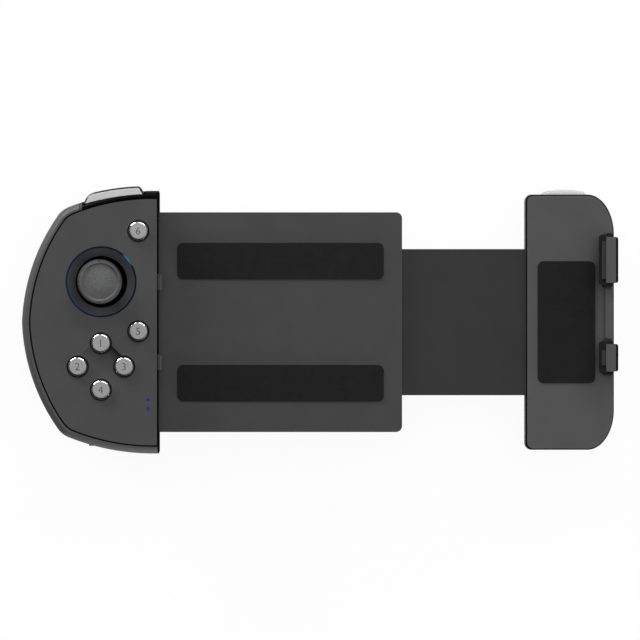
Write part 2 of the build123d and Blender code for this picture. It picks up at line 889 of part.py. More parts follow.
# Charging port, slide switch and their board
with BuildPart() as io_board:
    io_right = wall_x - tray_root - board_edge_gap
    with BuildSketch(Plane.XY.offset(io_board_top - io_board_thickness)):
        with Locations((io_right, -grip_half + io_board_inset)):
            Rectangle(io_board_width, io_board_depth, align=(Align.MAX, Align.MIN))
        add(grip_outline(io_board_inset), mode=Mode.INTERSECT)
        with Locations(*grip_screw_places):
            Circle(boss_radius + slide_gap, mode=Mode.SUBTRACT)
    extrude(amount=io_board_thickness)
pieces["io_board"] = io_board

port_front_y = -grip_half + port_mouth_inset
port_plane = Plane((port_x, port_front_y, port_z), x_dir=(1, 0, 0), z_dir=(0, -1, 0))
with BuildPart() as charge_port_shell:
    with BuildSketch(port_plane):
        SlotOverall(port_width, port_height)
    extrude(amount=-port_depth)
    with BuildSketch(port_plane):
        SlotOverall(port_width - 2 * port_metal, port_height - 2 * port_metal)
    extrude(amount=-(port_depth - port_metal), mode=Mode.SUBTRACT)
pieces["charge_port_shell"] = charge_port_shell

with BuildPart() as charge_port_tongue:
    with BuildSketch(port_plane.offset(-(port_depth - port_metal))):
        Rectangle(port_tongue_width, port_tongue_height)
    extrude(amount=port_tongue_length)
pieces["charge_port_tongue"] = charge_port_tongue

with BuildPart() as slider_housing:
    slider_plane = Plane((knob_x, -knob_back_y, knob_z), x_dir=(1, 0, 0), z_dir=(0, 1, 0))
    with BuildSketch(slider_plane):
        Rectangle(slider_width, slider_height)
    extrude(amount=slider_depth)
    with BuildSketch(slider_plane):
        Rectangle(slot_width, knob_height + 2 * pin_gap)
    extrude(amount=slider_depth / 2, mode=Mode.SUBTRACT)
pieces["slider_housing"] = slider_housing

with BuildPart() as slider_knob:
    with BuildSketch(slider_plane.offset(slider_depth / 2 - pin_gap)):
        Rectangle(knob_width, knob_height)
    extrude(amount=-(knob_out_y - knob_back_y + slider_depth / 2))
pieces["slider_knob"] = slider_knob

# Stick module, from the main board up
pivot_z = main_board_top + pivot_height
can_half = can_width / 2
can_top = pivot_z + can_above_pivot
base_top = main_board_top + board_thickness

with BuildPart() as stick_base:
    with BuildSketch(Plane((stick_x, stick_y, main_board_top))):
        Rectangle(can_width, can_width)
    extrude(amount=board_thickness)
pieces["stick_base"] = stick_base

with BuildPart() as stick_can:
    with BuildSketch(Plane((stick_x, stick_y, base_top))):
        Rectangle(can_width, can_width)
    extrude(amount=can_top - base_top)
    with BuildSketch(Plane((stick_x, stick_y, base_top))):
        Rectangle(can_width - 2 * can_wall, can_width - 2 * can_wall)
    extrude(amount=can_top - base_top - can_wall, mode=Mode.SUBTRACT)
    with BuildSketch(Plane((stick_x, stick_y, can_top))):
        Circle(can_mouth_radius)
    extrude(amount=-can_wall, mode=Mode.SUBTRACT)
    with BuildSketch(Plane((stick_x - can_half, stick_y, pivot_z), x_dir=(0, 1, 0), z_dir=(1, 0, 0))):
        Circle(yoke_pin_radius + pin_gap)
    extrude(amount=can_width, mode=Mode.SUBTRACT)
pieces["stick_can"] = stick_can

with BuildPart() as tilt_sensors:
    sensor_top = pivot_z + sensor_above_pivot
    with BuildSketch(Plane((stick_x, stick_y, base_top))):
        with Locations((-can_half - sensor_depth / 2, 0)):
            Rectangle(sensor_depth, sensor_width)
        with Locations((0, -can_half - sensor_depth / 2)):
            Rectangle(sensor_width, sensor_depth)
    extrude(amount=sensor_top - base_top)
pieces["tilt_sensors"] = tilt_sensors

with BuildPart() as gimbal_yoke:
    with BuildSketch(Plane((stick_x, stick_y, pivot_z - yoke_height / 2))):
        Rectangle(yoke_outer, yoke_outer)
        Rectangle(yoke_inner, yoke_inner, mode=Mode.SUBTRACT)
    extrude(amount=yoke_height)
    for side in (1, -1):
        with BuildSketch(
            Plane((stick_x + side * yoke_outer / 2, stick_y, pivot_z), z_dir=(side, 0, 0))
        ):
            Circle(yoke_pin_radius)
        extrude(amount=(can_width - yoke_outer) / 2 - pin_gap)
    with BuildSketch(Plane((stick_x, stick_y - yoke_outer / 2, pivot_z), z_dir=(0, 1, 0))):
        Circle(block_pin_radius + pin_gap)
    extrude(amount=yoke_outer, mode=Mode.SUBTRACT)
pieces["gimbal_yoke"] = gimbal_yoke

with BuildPart() as pivot_block:
    with BuildSketch(Plane((stick_x, stick_y, pivot_z - block_height / 2))):
        Rectangle(block_width, block_width)
    extrude(amount=block_height)
    with BuildSketch(Plane((stick_x, stick_y - yoke_outer / 2 + pin_gap, pivot_z), z_dir=(0, 1, 0))):
        Circle(block_pin_radius)
    extrude(amount=yoke_outer - 2 * pin_gap)
    with BuildSketch(Plane((stick_x, stick_y, pivot_z - block_height / 2))):
        Circle(shaft_radius + pin_gap)
    extrude(amount=block_height, mode=Mode.SUBTRACT)
pieces["pivot_block"] = pivot_block

cap_bottom = pivot_z + stick_tilt_lift
cap_top = cap_bottom + cap_height
cap_floor = cap_top - cap_recess
disc_bottom = cap_bottom + cap_disc_height

with BuildPart() as stick_shaft:
    with BuildSketch(Plane((stick_x, stick_y, pivot_z - shaft_below_pivot))):
        Circle(shaft_radius)
    extrude(amount=disc_bottom - pivot_z + shaft_below_pivot)
pieces["stick_shaft"] = stick_shaft

skirt_top = pivot_z + skirt_radius
with BuildPart() as stick_skirt:
    with Locations((stick_x, stick_y, pivot_z)):
        Sphere(skirt_radius)
        Sphere(skirt_radius - skirt_wall, mode=Mode.SUBTRACT)
    split(bisect_by=Plane.XY.offset(pivot_z + skirt_foot), keep=Keep.TOP)
    with BuildSketch(Plane((stick_x, stick_y, pivot_z))):
        Circle(shaft_radius)
    extrude(amount=skirt_radius, mode=Mode.SUBTRACT)
pieces["stick_skirt"] = stick_skirt

with BuildPart() as stick_cap:
    with BuildSketch(Plane((stick_x, stick_y, skirt_top))):
        Circle(neck_radius)
        Circle(shaft_radius, mode=Mode.SUBTRACT)
    extrude(amount=disc_bottom - skirt_top)
    with BuildSketch(Plane((stick_x, stick_y, disc_bottom))):
        Circle(cap_disc_radius)
    extrude(amount=cap_disc_height)
pieces["stick_cap"] = stick_cap

# Domed pad for the thumb
dome_sphere = (cap_groove_radius ** 2 + cap_dome_rise ** 2) / (2 * cap_dome_rise)
with BuildPart() as thumb_dome:
    with BuildSketch(Plane((stick_x, stick_y, cap_floor))):
        Circle(cap_groove_radius - cap_groove_width / 2)
    extrude(amount=cap_dome_rise)
    with Locations((stick_x, stick_y, cap_floor + cap_dome_rise - dome_sphere)):
        Sphere(dome_sphere, mode=Mode.INTERSECT)

with BuildPart() as cap_rubber:
    with BuildSketch(Plane((stick_x, stick_y, cap_bottom))):
        Circle(cap_radius)
    extrude(amount=cap_height)
    fillet(cap_rubber.edges().filter_by(GeomType.CIRCLE), cap_edge_round)
    # Recess round the domed pad
    recess_radius = cap_groove_radius + cap_groove_width / 2
    with Locations((stick_x, stick_y, cap_floor)):
        Cone(
            recess_radius, recess_radius + cap_recess_slope, cap_recess,
            align=(Align.CENTER, Align.CENTER, Align.MIN), mode=Mode.SUBTRACT,
        )
    add(thumb_dome)
    # Pocket for the cap's core
    with BuildSketch(Plane((stick_x, stick_y, cap_bottom))):
        Circle(neck_radius)
    extrude(amount=disc_bottom - cap_bottom, mode=Mode.SUBTRACT)
    with BuildSketch(Plane((stick_x, stick_y, disc_bottom))):
        Circle(cap_disc_radius)
    extrude(amount=cap_disc_height, mode=Mode.SUBTRACT)
pieces["cap_rubber"] = cap_rubber

# Six button caps, each its own piece
button_bottom = button_board_top + mat_thickness + dome_height + seam_gap
button_top = face_top + button_proud
for index, (x, y) in enumerate(button_places):
    with BuildPart() as button_cap:
        with BuildSketch(Plane((x, y, button_bottom))):
            Circle(button_flange_radius)
        extrude(amount=button_flange_height)
        with BuildSketch(Plane((x, y, button_bottom))):
            Circle(button_radius)
        extrude(amount=button_top - button_bottom)
        fillet(button_cap.faces().sort_by(Axis.Z)[-1].edges(), button_bevel)
    pieces[f"button_{index + 1}"] = button_cap

# L1, its pin and its switch
with BuildPart() as l1_button:
    with BuildSketch(Plane.XY.offset(l1_bottom)) as l1_plan:
        with BuildLine():
            ThreePointArc(
                (l1_left, l1_inner_y[0]), (l1_mid, l1_inner_y[1]), (l1_right, l1_inner_y[2]),
            )
            Line((l1_right, l1_inner_y[2]), (l1_right - l1_slant, l1_outer_y[2]))
            ThreePointArc(
                (l1_right - l1_slant, l1_outer_y[2]),
                (l1_mid, l1_outer_y[1]),
                (l1_left + l1_slant, l1_outer_y[0]),
            )
            Line((l1_left + l1_slant, l1_outer_y[0]), (l1_left, l1_inner_y[0]))
        make_face()
        fillet(l1_plan.vertices().sort_by(Axis.X)[1], l1_left_round)
        fillet(l1_plan.vertices().sort_by(Axis.X)[-2], l1_right_round)
    extrude(amount=l1_height)
    rims = l1_button.faces().sort_by(Axis.Z)[-1].edges().sort_by(Axis.Y)
    fillet(rims[-1], l1_edge_round)
    # Lug that turns on the pin
    with BuildSketch(Plane.XY.offset(l1_bottom)):
        with Locations((l1_pin_x, l1_pin_y)):
            Circle(l1_lug_radius)
        with Locations((l1_pin_x, l1_pin_y)):
            Rectangle(
                2 * l1_lug_radius, l1_inner_y[2] - l1_pin_y, align=(Align.CENTER, Align.MIN),
            )
    extrude(amount=l1_lug_height)
    with BuildSketch(Plane((l1_pin_x, l1_pin_y, l1_bottom))):
        Circle(l1_pin_radius + pin_gap)
    extrude(amount=l1_lug_height, mode=Mode.SUBTRACT)
pieces["l1_button"] = l1_button

with BuildPart() as l1_pin:
    with BuildSketch(Plane((l1_pin_x, l1_pin_y, shelf_bottom))):
        Circle(l1_pin_radius)
    extrude(amount=l1_bottom + l1_lug_height - shelf_bottom + slide_gap)
pieces["l1_pin"] = l1_pin

with BuildPart() as l1_switch:
    l1_switch_x = wall_x - l1_switch_from_wall
    with BuildSketch(Plane((l1_switch_x, l1_switch_back_y, shelf_top))):
        Rectangle(l1_switch_width, l1_switch_depth, align=(Align.CENTER, Align.MIN))
    extrude(amount=l1_switch_height)
    with BuildSketch(
        Plane(
            (l1_switch_x, l1_switch_back_y + l1_switch_depth, shelf_top + l1_switch_height / 2),
            z_dir=(0, 1, 0),
        )
    ):
        Circle(l1_plunger_radius)
    extrude(amount=l1_plunger_length)
pieces["l1_switch"] = l1_switch

grip_screws = screws(
    grip_screw_places, grip_screw_seat, belly_height,
    screw_radius, screw_head_radius, screw_head_height,
)
pieces["grip_screws"] = grip_screws

with BuildPart() as wall_bumpers:
    with BuildSketch(Plane.XY.offset(face_top - bumper_bottom_drop)):
        with Locations((wall_x, bumper_y), (wall_x, -bumper_y)):
            Rectangle(bumper_depth, bumper_length, align=(Align.MIN, Align.CENTER))
    extrude(amount=bumper_bottom_drop - bumper_top_drop)
    fronts = wall_bumpers.faces().filter_by(Axis.X).group_by(Axis.X)[-1]
    fillet(fronts.edges(), bumper_round)
pieces["wall_bumpers"] = wall_bumpers

# Tray: a floor panel on a back cover, hollow for the tongue
cavity_bottom = tray_bottom + panel_wall
cavity_top = tray_top - panel_wall
cavity_start = wall_x + slide_gap
cavity_end = tray_end - tray_end_wall
cavity_half = tray_half - tray_side_wall
tongue_bottom = cavity_bottom + slide_gap
tongue_top = cavity_top - slide_gap
tongue_left = tray_end - tongue_overlap
tongue_right = hand_left + tongue_in_hand


def tray_sheet():
    """The tray's outline, with rounded outer corners."""
    with BuildSketch() as sheet:
        with Locations((tray_start, 0)):
            Rectangle(tray_end - tray_start, tray_width, align=(Align.MIN, Align.CENTER))
        fillet(sheet.vertices().sort_by(Axis.X)[2:4], tray_corner_round)
    return sheet.sketch


tray_pad_length = tray_end - wall_x - 2 * tray_pad_end_gap
with BuildPart() as tray_floor:
    with BuildSketch(Plane.XY.offset(cavity_top)):
        add(tray_sheet())
    extrude(amount=panel_wall)
    with BuildSketch(Plane.XY.offset(tray_top - pad_depth + pad_proud)):
        with Locations((wall_x + tray_pad_end_gap + tray_pad_length / 2, 0)):
            with GridLocations(0, 2 * tray_pad_y, 1, 2):
                RectangleRounded(tray_pad_length, tray_pad_width, hand_pad_round)
    extrude(amount=pad_depth, mode=Mode.SUBTRACT)
    tray_screw_places = [
        (x, y)
        for x in (tray_start + tray_screw_root_inset, tray_end - tray_end_wall / 2)
        for y in (-tray_screw_y, tray_screw_y)
    ]
    with BuildSketch(Plane.XY.offset(cavity_top)):
        with Locations(*tray_screw_places):
            Circle(tray_screw_radius)
    extrude(amount=panel_wall - tray_screw_tip_drop, mode=Mode.SUBTRACT)
pieces["tray_floor"] = tray_floor

with BuildPart() as tray_pads:
    with BuildSketch(Plane.XY.offset(tray_top - pad_depth + pad_proud)):
        with Locations((wall_x + tray_pad_end_gap + tray_pad_length / 2, 0)):
            with GridLocations(0, 2 * tray_pad_y, 1, 2):
                RectangleRounded(tray_pad_length, tray_pad_width, hand_pad_round)
    extrude(amount=pad_depth)
pieces["tray_pads"] = tray_pads

with BuildPart() as tray_back:
    with BuildSketch(Plane.XY.offset(tray_bottom)):
        add(tray_sheet())
    extrude(amount=cavity_top - tray_bottom)
    under_edges = tray_back.faces().sort_by(Axis.Z)[0].edges()
    chamfer(under_edges.filter_by(Axis.X), tray_edge_round)
    with BuildSketch(Plane.XY.offset(cavity_bottom)):
        with Locations((cavity_start, 0)):
            Rectangle(cavity_end - cavity_start, 2 * cavity_half, align=(Align.MIN, Align.CENTER))
            Rectangle(
                tray_end - cavity_start, tongue_width + 2 * slide_gap,
                align=(Align.MIN, Align.CENTER),
            )
        with Locations((tray_start, 0)):
            Rectangle(
                tray_root + slide_gap, ribbon_width + 2 * slide_gap,
                align=(Align.MIN, Align.CENTER),
            )
    extrude(amount=cavity_top - cavity_bottom, mode=Mode.SUBTRACT)
    with BuildSketch(Plane.XY.offset(tray_bottom)):
        with Locations(*tray_screw_places):
            Circle(tray_screw_head_radius + pin_gap)
    extrude(amount=tray_screw_head_height, mode=Mode.SUBTRACT)
    with BuildSketch(Plane.XY.offset(tray_bottom)):
        with Locations(*tray_screw_places):
            Circle(tray_screw_radius + pin_gap)
    extrude(amount=cavity_top - tray_bottom, mode=Mode.SUBTRACT)
pieces["tray_back"] = tray_back

tray_screws = screws(
    tray_screw_places, tray_bottom + tray_screw_head_height, tray_top - tray_screw_tip_drop,
    tray_screw_radius, tray_screw_head_radius, tray_screw_head_height,
)
pieces["tray_screws"] = tray_screws

with BuildPart() as clamp_springs:
    spring_length = cavity_end - tongue_left - tongue_stop - 2 * pin_gap
    spring_plane = Plane(
        (cavity_end - pin_gap, 0, (cavity_top + cavity_bottom) / 2),
        x_dir=(0, 1, 0), z_dir=(-1, 0, 0),
    )
    with BuildSketch(spring_plane):
        with GridLocations(2 * spring_y, 0, 2, 1):
            Circle(spring_radius)
            Circle(spring_radius - spring_wire, mode=Mode.SUBTRACT)
    extrude(amount=spring_length)
pieces["clamp_springs"] = clamp_springs

# Sliding tongue, with a stop bar inside the tray and a groove for the ribbon
with BuildPart() as tongue:
    with BuildSketch(Plane.XY.offset(tongue_bottom)):
        with Locations((tongue_left, 0)):
            Rectangle(tongue_right - tongue_left, tongue_width, align=(Align.MIN, Align.CENTER))
            Rectangle(
                tongue_stop, 2 * (cavity_half - slide_gap), align=(Align.MIN, Align.CENTER),
            )
    extrude(amount=tongue_top - tongue_bottom)
    with BuildSketch(Plane.XY.offset(tongue_bottom)):
        with Locations((tongue_left, 0)):
            Rectangle(
                tongue_right - tongue_left, ribbon_width + 2 * slide_gap,
                align=(Align.MIN, Align.CENTER),
            )
    extrude(amount=ribbon_groove_depth, mode=Mode.SUBTRACT)
    tongue_screw_places = [
        (hand_left + tongue_screw_inset, tongue_screw_y),
        (hand_left + tongue_screw_inset, -tongue_screw_y),
    ]
    with BuildSketch(Plane.XY.offset(tongue_bottom)):
        with Locations(*tongue_screw_places):
            Circle(tongue_screw_radius)
    extrude(amount=tongue_top - tongue_bottom, mode=Mode.SUBTRACT)
pieces["tongue"] = tongue

tongue_screws = screws(
    tongue_screw_places, tongue_bottom, cavity_top + tongue_screw_bite,
    tongue_screw_radius, tongue_screw_head_radius, tongue_screw_head_height,
)
pieces["tongue_screws"] = tongue_screws

with BuildPart() as ribbon_cable:
    ribbon_top = tongue_bottom + ribbon_groove_depth - slide_gap / 2
    ribbon_left = tray_start - slide_gap - ribbon_thickness
    ribbon_right = tongue_right + slide_gap + ribbon_thickness
    with BuildSketch(Plane((0, ribbon_width / 2, 0), x_dir=(1, 0, 0), z_dir=(0, -1, 0))):
        with Locations((ribbon_left, ribbon_top)):
            Rectangle(
                ribbon_right - ribbon_left, ribbon_thickness, align=(Align.MIN, Align.MAX),
            )
            Rectangle(
                ribbon_thickness, ribbon_top - main_board_top, align=(Align.MIN, Align.MAX),
            )
        with Locations((ribbon_right, ribbon_top)):
            Rectangle(
                ribbon_thickness, ribbon_top - trigger_board_top, align=(Align.MAX, Align.MAX),
            )
    extrude(amount=ribbon_width)
pieces["ribbon_cable"] = ribbon_cable

# Hand shells
hand_skin = hand_form(0)
hand_core = hand_form(shell_wall)
hand_cut = Plane.XY.offset(hand_split_height)
r1_x = hand_left + r1_from_left
hand_pad_length = bay_end - hand_pad_right_gap - hand_left - hand_pad_left_gap
hand_pad_x = hand_left + hand_pad_left_gap + hand_pad_length / 2
claw_names = ("upper_claw", "lower_claw")


def r1_hole():
    """Block that cuts the way for R1 through the hand's edge."""
    with BuildPart() as block:
        with Locations((r1_x, hand_half, r1_centre_height)):
            Box(r1_width + 2 * r1_gap, 2 * overrun, r1_height + 2 * r1_gap)
    return block.part


with BuildPart() as hand_front:
    add(hand_skin)
    add(below(hand_core, cavity_top), mode=Mode.SUBTRACT)
    split(bisect_by=hand_cut, keep=Keep.TOP)
    fillet(hand_front.faces().sort_by(Axis.Z)[-1].edges(), hand_edge_round)
    # Bosses for the shell screws, and pads that the tongue is screwed to
    with BuildSketch(Plane.XY.offset(hand_split_height + seam_gap)):
        with Locations(*hand_screw_places):
            Circle(boss_radius)
    extrude(amount=cavity_top - hand_split_height - seam_gap)
    with BuildSketch(Plane.XY.offset(tongue_top)):
        with Locations(*tongue_screw_places):
            Circle(tongue_screw_head_radius)
    extrude(amount=cavity_top - tongue_top)
    with BuildSketch(Plane.XY.offset(hand_split_height + seam_gap)):
        with Locations(*hand_screw_places):
            Circle(screw_radius)
    extrude(amount=cavity_top - hand_split_height - seam_gap, mode=Mode.SUBTRACT)
    with BuildSketch(Plane.XY.offset(tongue_top)):
        with Locations(*tongue_screw_places):
            Circle(tongue_screw_radius)
    extrude(amount=cavity_top + tongue_screw_bite - tongue_top, mode=Mode.SUBTRACT)
    # Low ridge between the claws
    ridge_low = claw_centres["lower_claw"] + claw_lengths["lower_claw"] / 2 + liner_end_wall
    ridge_high = claw_centres["upper_claw"] - claw_lengths["upper_claw"] / 2 - liner_end_wall
    with BuildSketch(Plane((claw_inner, ridge_low + ridge_gap, tray_top - panel_wall / 2))):
        Rectangle(
            claw_wall - hand_edge_round - hand_front_inset,
            ridge_high - ridge_low - 2 * ridge_gap,
            align=(Align.MIN, Align.MIN),
        )
    extrude(amount=ridge_height + panel_wall / 2)
    # Way in for the tongue, hole for R1, slots for the claws, recess for the pad
    with Locations((hand_left, 0, (tongue_top + tongue_bottom) / 2)):
        Box(
            2 * overrun, tongue_width + 2 * seam_gap,
            tongue_top - tongue_bottom + 2 * seam_gap, mode=Mode.SUBTRACT,
        )
    add(r1_hole(), mode=Mode.SUBTRACT)
    for name in claw_names:
        lip_length = claw_lengths[name] - 2 * claw_lip_insets[name]
        with BuildSketch(Plane((claw_inner, claw_centres[name], cavity_top))):
            Rectangle(
                claw_tenon_wall + pin_gap, lip_length + 2 * pin_gap,
                align=(Align.MIN, Align.CENTER),
            )
        extrude(amount=panel_wall, mode=Mode.SUBTRACT)
    with BuildSketch(Plane((hand_pad_x, 0, tray_top - pad_depth + pad_proud))):
        RectangleRounded(hand_pad_length, 2 * hand_pad_half, hand_pad_round)
    extrude(amount=pad_depth, mode=Mode.SUBTRACT)
pieces["hand_front"] = hand_front

trigger_board_left = hand_left + trigger_board_from_left
trigger_board_bottom = trigger_board_top - trigger_board_thickness
flange_outer = hand_half - r1_flange_drop
plunger_tip = flange_outer - r1_flange_depth - r1_plunger_gap
trigger_board_high = plunger_tip - r1_plunger_length
trigger_posts = [
    (trigger_board_left + trigger_post_inset, trigger_board_low_y + trigger_post_inset),
    (
        trigger_board_left + trigger_board_width - trigger_post_inset,
        trigger_board_high - trigger_post_inset,
    ),
]

with BuildPart() as hand_rear:
    add(hand_skin)
    add(hand_core, mode=Mode.SUBTRACT)
    with BuildSketch():
        with Locations(*hand_screw_places):
            Circle(boss_foot_radius)
    extrude(amount=hand_screw_seat + shell_wall)
    with BuildSketch():
        with Locations(*hand_screw_places):
            Circle(boss_radius)
    extrude(amount=hand_split_height)
    with BuildSketch():
        with Locations(*trigger_posts):
            Circle(trigger_post_radius)
    extrude(amount=trigger_board_bottom)
    split(bisect_by=hand_cut, keep=Keep.BOTTOM)
    add(hand_skin, mode=Mode.INTERSECT)
    add(r1_hole(), mode=Mode.SUBTRACT)
    with BuildSketch():
        with Locations(*hand_screw_places):
            Circle(screw_head_radius + screw_play)
    extrude(amount=hand_screw_seat, mode=Mode.SUBTRACT)
    with BuildSketch():
        with Locations(*hand_screw_places):
            Circle(screw_radius + screw_play)
    extrude(amount=hand_split_height, mode=Mode.SUBTRACT)
pieces["hand_rear"] = hand_rear

hand_screws = screws(
    hand_screw_places, hand_screw_seat, cavity_top,
    screw_radius, screw_head_radius, screw_head_height,
)
pieces["hand_screws"] = hand_screws

with BuildPart() as hand_pad:
    with BuildSketch(Plane((hand_pad_x, 0, tray_top - pad_depth + pad_proud))):
        RectangleRounded(hand_pad_length, 2 * hand_pad_half, hand_pad_round)
    extrude(amount=pad_depth)
pieces["hand_pad"] = hand_pad

# Claws and their rubber liners
lip_bottom = tray_top + bay_depth + liner_lip_depth
lip_top = lip_bottom + claw_lip_thickness
claw_top = lip_top + claw_crown_height
liner_top = claw_top - liner_crown_drop


def claw_solid(name):
    """One claw: an upright wall, a lip over the bay and a tenon into the hand."""
    lip_length = claw_lengths[name] - 2 * claw_lip_insets[name]
    with BuildPart() as claw:
        with BuildSketch(Plane((claw_inner, claw_centres[name], tray_top))):
            Rectangle(claw_wall, claw_lengths[name], align=(Align.MIN, Align.CENTER))
        extrude(amount=claw_top - tray_top)
        outer_edges = claw.faces().sort_by(Axis.X)[-1].edges()
        top_edges = outer_edges.group_by(Axis.Z)[-1]
        side_edges = outer_edges.filter_by(Axis.Z)
        fillet(top_edges + side_edges, claw_edge_round)
        with BuildSketch(Plane((claw_inner, claw_centres[name], lip_bottom))):
            Rectangle(claw_lip_reach, lip_length, align=(Align.MAX, Align.CENTER))
        extrude(amount=claw_lip_thickness)
        with BuildSketch(Plane((claw_inner, claw_centres[name], lip_bottom))):
            Rectangle(claw_crown_reach, claw_lengths[name], align=(Align.MAX, Align.CENTER))
        extrude(amount=claw_top - lip_bottom)
        with BuildSketch(Plane((claw_inner, claw_centres[name], tray_top))):
            Rectangle(claw_tenon_wall, lip_length, align=(Align.MIN, Align.CENTER))
        extrude(amount=-claw_tenon_depth)
    return claw


def liner_solid(name, claw):
    """The rubber boot round a claw, open where the claw shows."""
    length = claw_lengths[name] + 2 * liner_end_wall
    lip_length = claw_lengths[name] + 2 * liner_lip_end
    with BuildPart() as liner:
        with BuildSketch(Plane((bay_end, claw_centres[name], tray_top))):
            Rectangle(
                hand_right - liner_back_gap - bay_end, length, align=(Align.MIN, Align.CENTER),
            )
        extrude(amount=liner_top - tray_top)
        fillet(liner.edges().filter_by(Axis.Z), liner_end_round)
        fillet(liner.faces().sort_by(Axis.Z)[-1].edges(), liner_edge_round)
        with BuildSketch(Plane((bay_end, claw_centres[name], tray_top + bay_depth))):
            RectangleRounded(2 * liner_lip_reach, lip_length, liner_end_round)
        extrude(amount=liner_top - liner_edge_round - tray_top - bay_depth)
        add(claw.part, mode=Mode.SUBTRACT)
    return liner


for name in claw_names:
    pieces[name] = claw_solid(name)
    pieces[name + "_liner"] = liner_solid(name, pieces[name])

# R1, its switch and its board
with BuildPart() as r1_button:
    with BuildSketch(Plane.XY.offset(r1_centre_height - r1_height / 2)):
        with BuildLine():
            end_y = hand_half + r1_proud - r1_end_drop
            ThreePointArc(
                (r1_x - r1_width / 2, end_y),
                (r1_x, hand_half + r1_proud),
                (r1_x + r1_width / 2, end_y),
            )
            Polyline(
                (r1_x + r1_width / 2, end_y), (r1_x + r1_width / 2, flange_outer),
                (r1_x - r1_width / 2, flange_outer), (r1_x - r1_width / 2, end_y),
            )
        make_face()
    extrude(amount=r1_height)
    fronts = r1_button.faces().sort_by(Axis.Y)[-1].edges()
    chamfer(fronts, r1_bevel)
    with BuildSketch(
        Plane((r1_x, flange_outer, r1_centre_height), x_dir=(1, 0, 0), z_dir=(0, -1, 0))
    ):
        Rectangle(r1_width + 2 * r1_flange_margin, r1_height)
    extrude(amount=r1_flange_depth)
pieces["r1_button"] = r1_button

with BuildPart() as trigger_board:
    with BuildSketch(Plane((trigger_board_left, trigger_board_low_y, trigger_board_bottom))):
        Rectangle(
            trigger_board_width, trigger_board_high - trigger_board_low_y,
            align=(Align.MIN, Align.MIN),
        )
    extrude(amount=trigger_board_thickness)
pieces["trigger_board"] = trigger_board

with BuildPart() as r1_switch:
    with BuildSketch(Plane((r1_x, trigger_board_high, trigger_board_top))):
        Rectangle(r1_switch_width, r1_switch_depth, align=(Align.CENTER, Align.MAX))
    extrude(amount=r1_switch_height)
    with BuildSketch(
        Plane(
            (r1_x, trigger_board_high, trigger_board_top + r1_switch_height / 2),
            z_dir=(0, 1, 0),
        )
    ):
        Circle(r1_plunger_radius)
    extrude(amount=r1_plunger_length)
pieces["r1_switch"] = r1_switch

# Write every piece
os.makedirs("parts", exist_ok=True)
for name, piece in pieces.items():
    piece.part.label = name
    export_step(piece.part, f"parts/{name}.step")
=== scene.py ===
import math

import bmesh
import bpy
from mathutils import Matrix, Vector


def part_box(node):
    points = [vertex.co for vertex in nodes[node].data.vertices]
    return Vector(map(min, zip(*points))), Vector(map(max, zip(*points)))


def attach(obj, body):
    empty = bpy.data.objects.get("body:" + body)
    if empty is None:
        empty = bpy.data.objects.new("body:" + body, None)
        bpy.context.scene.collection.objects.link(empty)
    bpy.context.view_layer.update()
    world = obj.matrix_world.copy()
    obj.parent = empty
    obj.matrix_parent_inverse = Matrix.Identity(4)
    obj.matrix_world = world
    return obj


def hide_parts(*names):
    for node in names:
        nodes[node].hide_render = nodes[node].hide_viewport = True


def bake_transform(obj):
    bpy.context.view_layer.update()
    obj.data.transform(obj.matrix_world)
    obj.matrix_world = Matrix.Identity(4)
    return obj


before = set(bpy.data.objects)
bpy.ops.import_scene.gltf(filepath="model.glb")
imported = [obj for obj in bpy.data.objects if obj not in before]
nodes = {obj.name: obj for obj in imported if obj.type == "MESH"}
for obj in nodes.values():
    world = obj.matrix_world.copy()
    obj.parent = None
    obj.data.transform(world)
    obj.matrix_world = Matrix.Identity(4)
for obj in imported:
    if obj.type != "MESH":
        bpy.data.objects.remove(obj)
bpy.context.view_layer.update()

MM = 0.001
BUTTONS = range(1, 7)
DISH_BUTTONS = range(1, 5)       # the four round the dish

# Camera, straight above the middle of the picture
FACE_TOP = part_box("face_plate")[1].z
CAMERA_HEIGHT = 850 * MM         # above the face of the grip
VIEW_WIDTH = 207.7 * MM          # what the picture spans at the face's height
CAMERA_X = 0.45 * MM
CAMERA_Y = 0.71 * MM
CAMERA_NEAR = 0.01
CAMERA_FAR = 20.0
SENSOR_WIDTH = 36.0

# Lamps: name, place and size in metres, power in watts, and whether gloss shows them
LAMPS = [
    ("lamp_over", (0.10, 0.15, 1.10), (1.0, 1.0), 5.7, False),
    ("lamp_upper_left", (-0.60, 0.75, 0.20), (0.6, 0.3), 10.0, True),
    ("lamp_top", (0.30, 0.85, 0.60), (0.8, 0.2), 4.0, True),
    ("lamp_front", (0.70, -1.00, 0.09), (0.9, 0.1), 26.0, False),
]
WORLD_LOW = 0.03                 # light from the horizon
WORLD_HIGH = 0.50                # light from straight above
WORLD_HORIZON = 0.1              # how high the light from the horizon reaches
WORLD_DARK_SHARE = 0.02          # what is left of it on the dark side
WORLD_BRIGHT_SIDE = (0.5, 0.85, 0.0)
WORLD_SIDE_SPAN = (-0.6, 0.2)    # from the dark side to the bright one
FLOOR_SIZE = 4.0
FLOOR_COLOUR = (0.40, 0.40, 0.40)
FLOOR_ROUGH = 0.9
FLOOR_UNEVEN = 0.05
FLOOR_GRAIN = 20 * MM
FLOOR_SPECULAR = 0.1
FLOOR_GLOW = 1.09
FLOOR_GLOW_SHARE = 0.86

# Sockets of the mix node: factor and the two values in, and the result out
MIX_COLOUR_IN, MIX_COLOUR_OUT = (0, 6, 7), 2
MIX_VALUE_IN, MIX_VALUE_OUT = (0, 2, 3), 0

# Most of a noise's values lie between these
NOISE_LOW, NOISE_HIGH = 0.3, 0.7


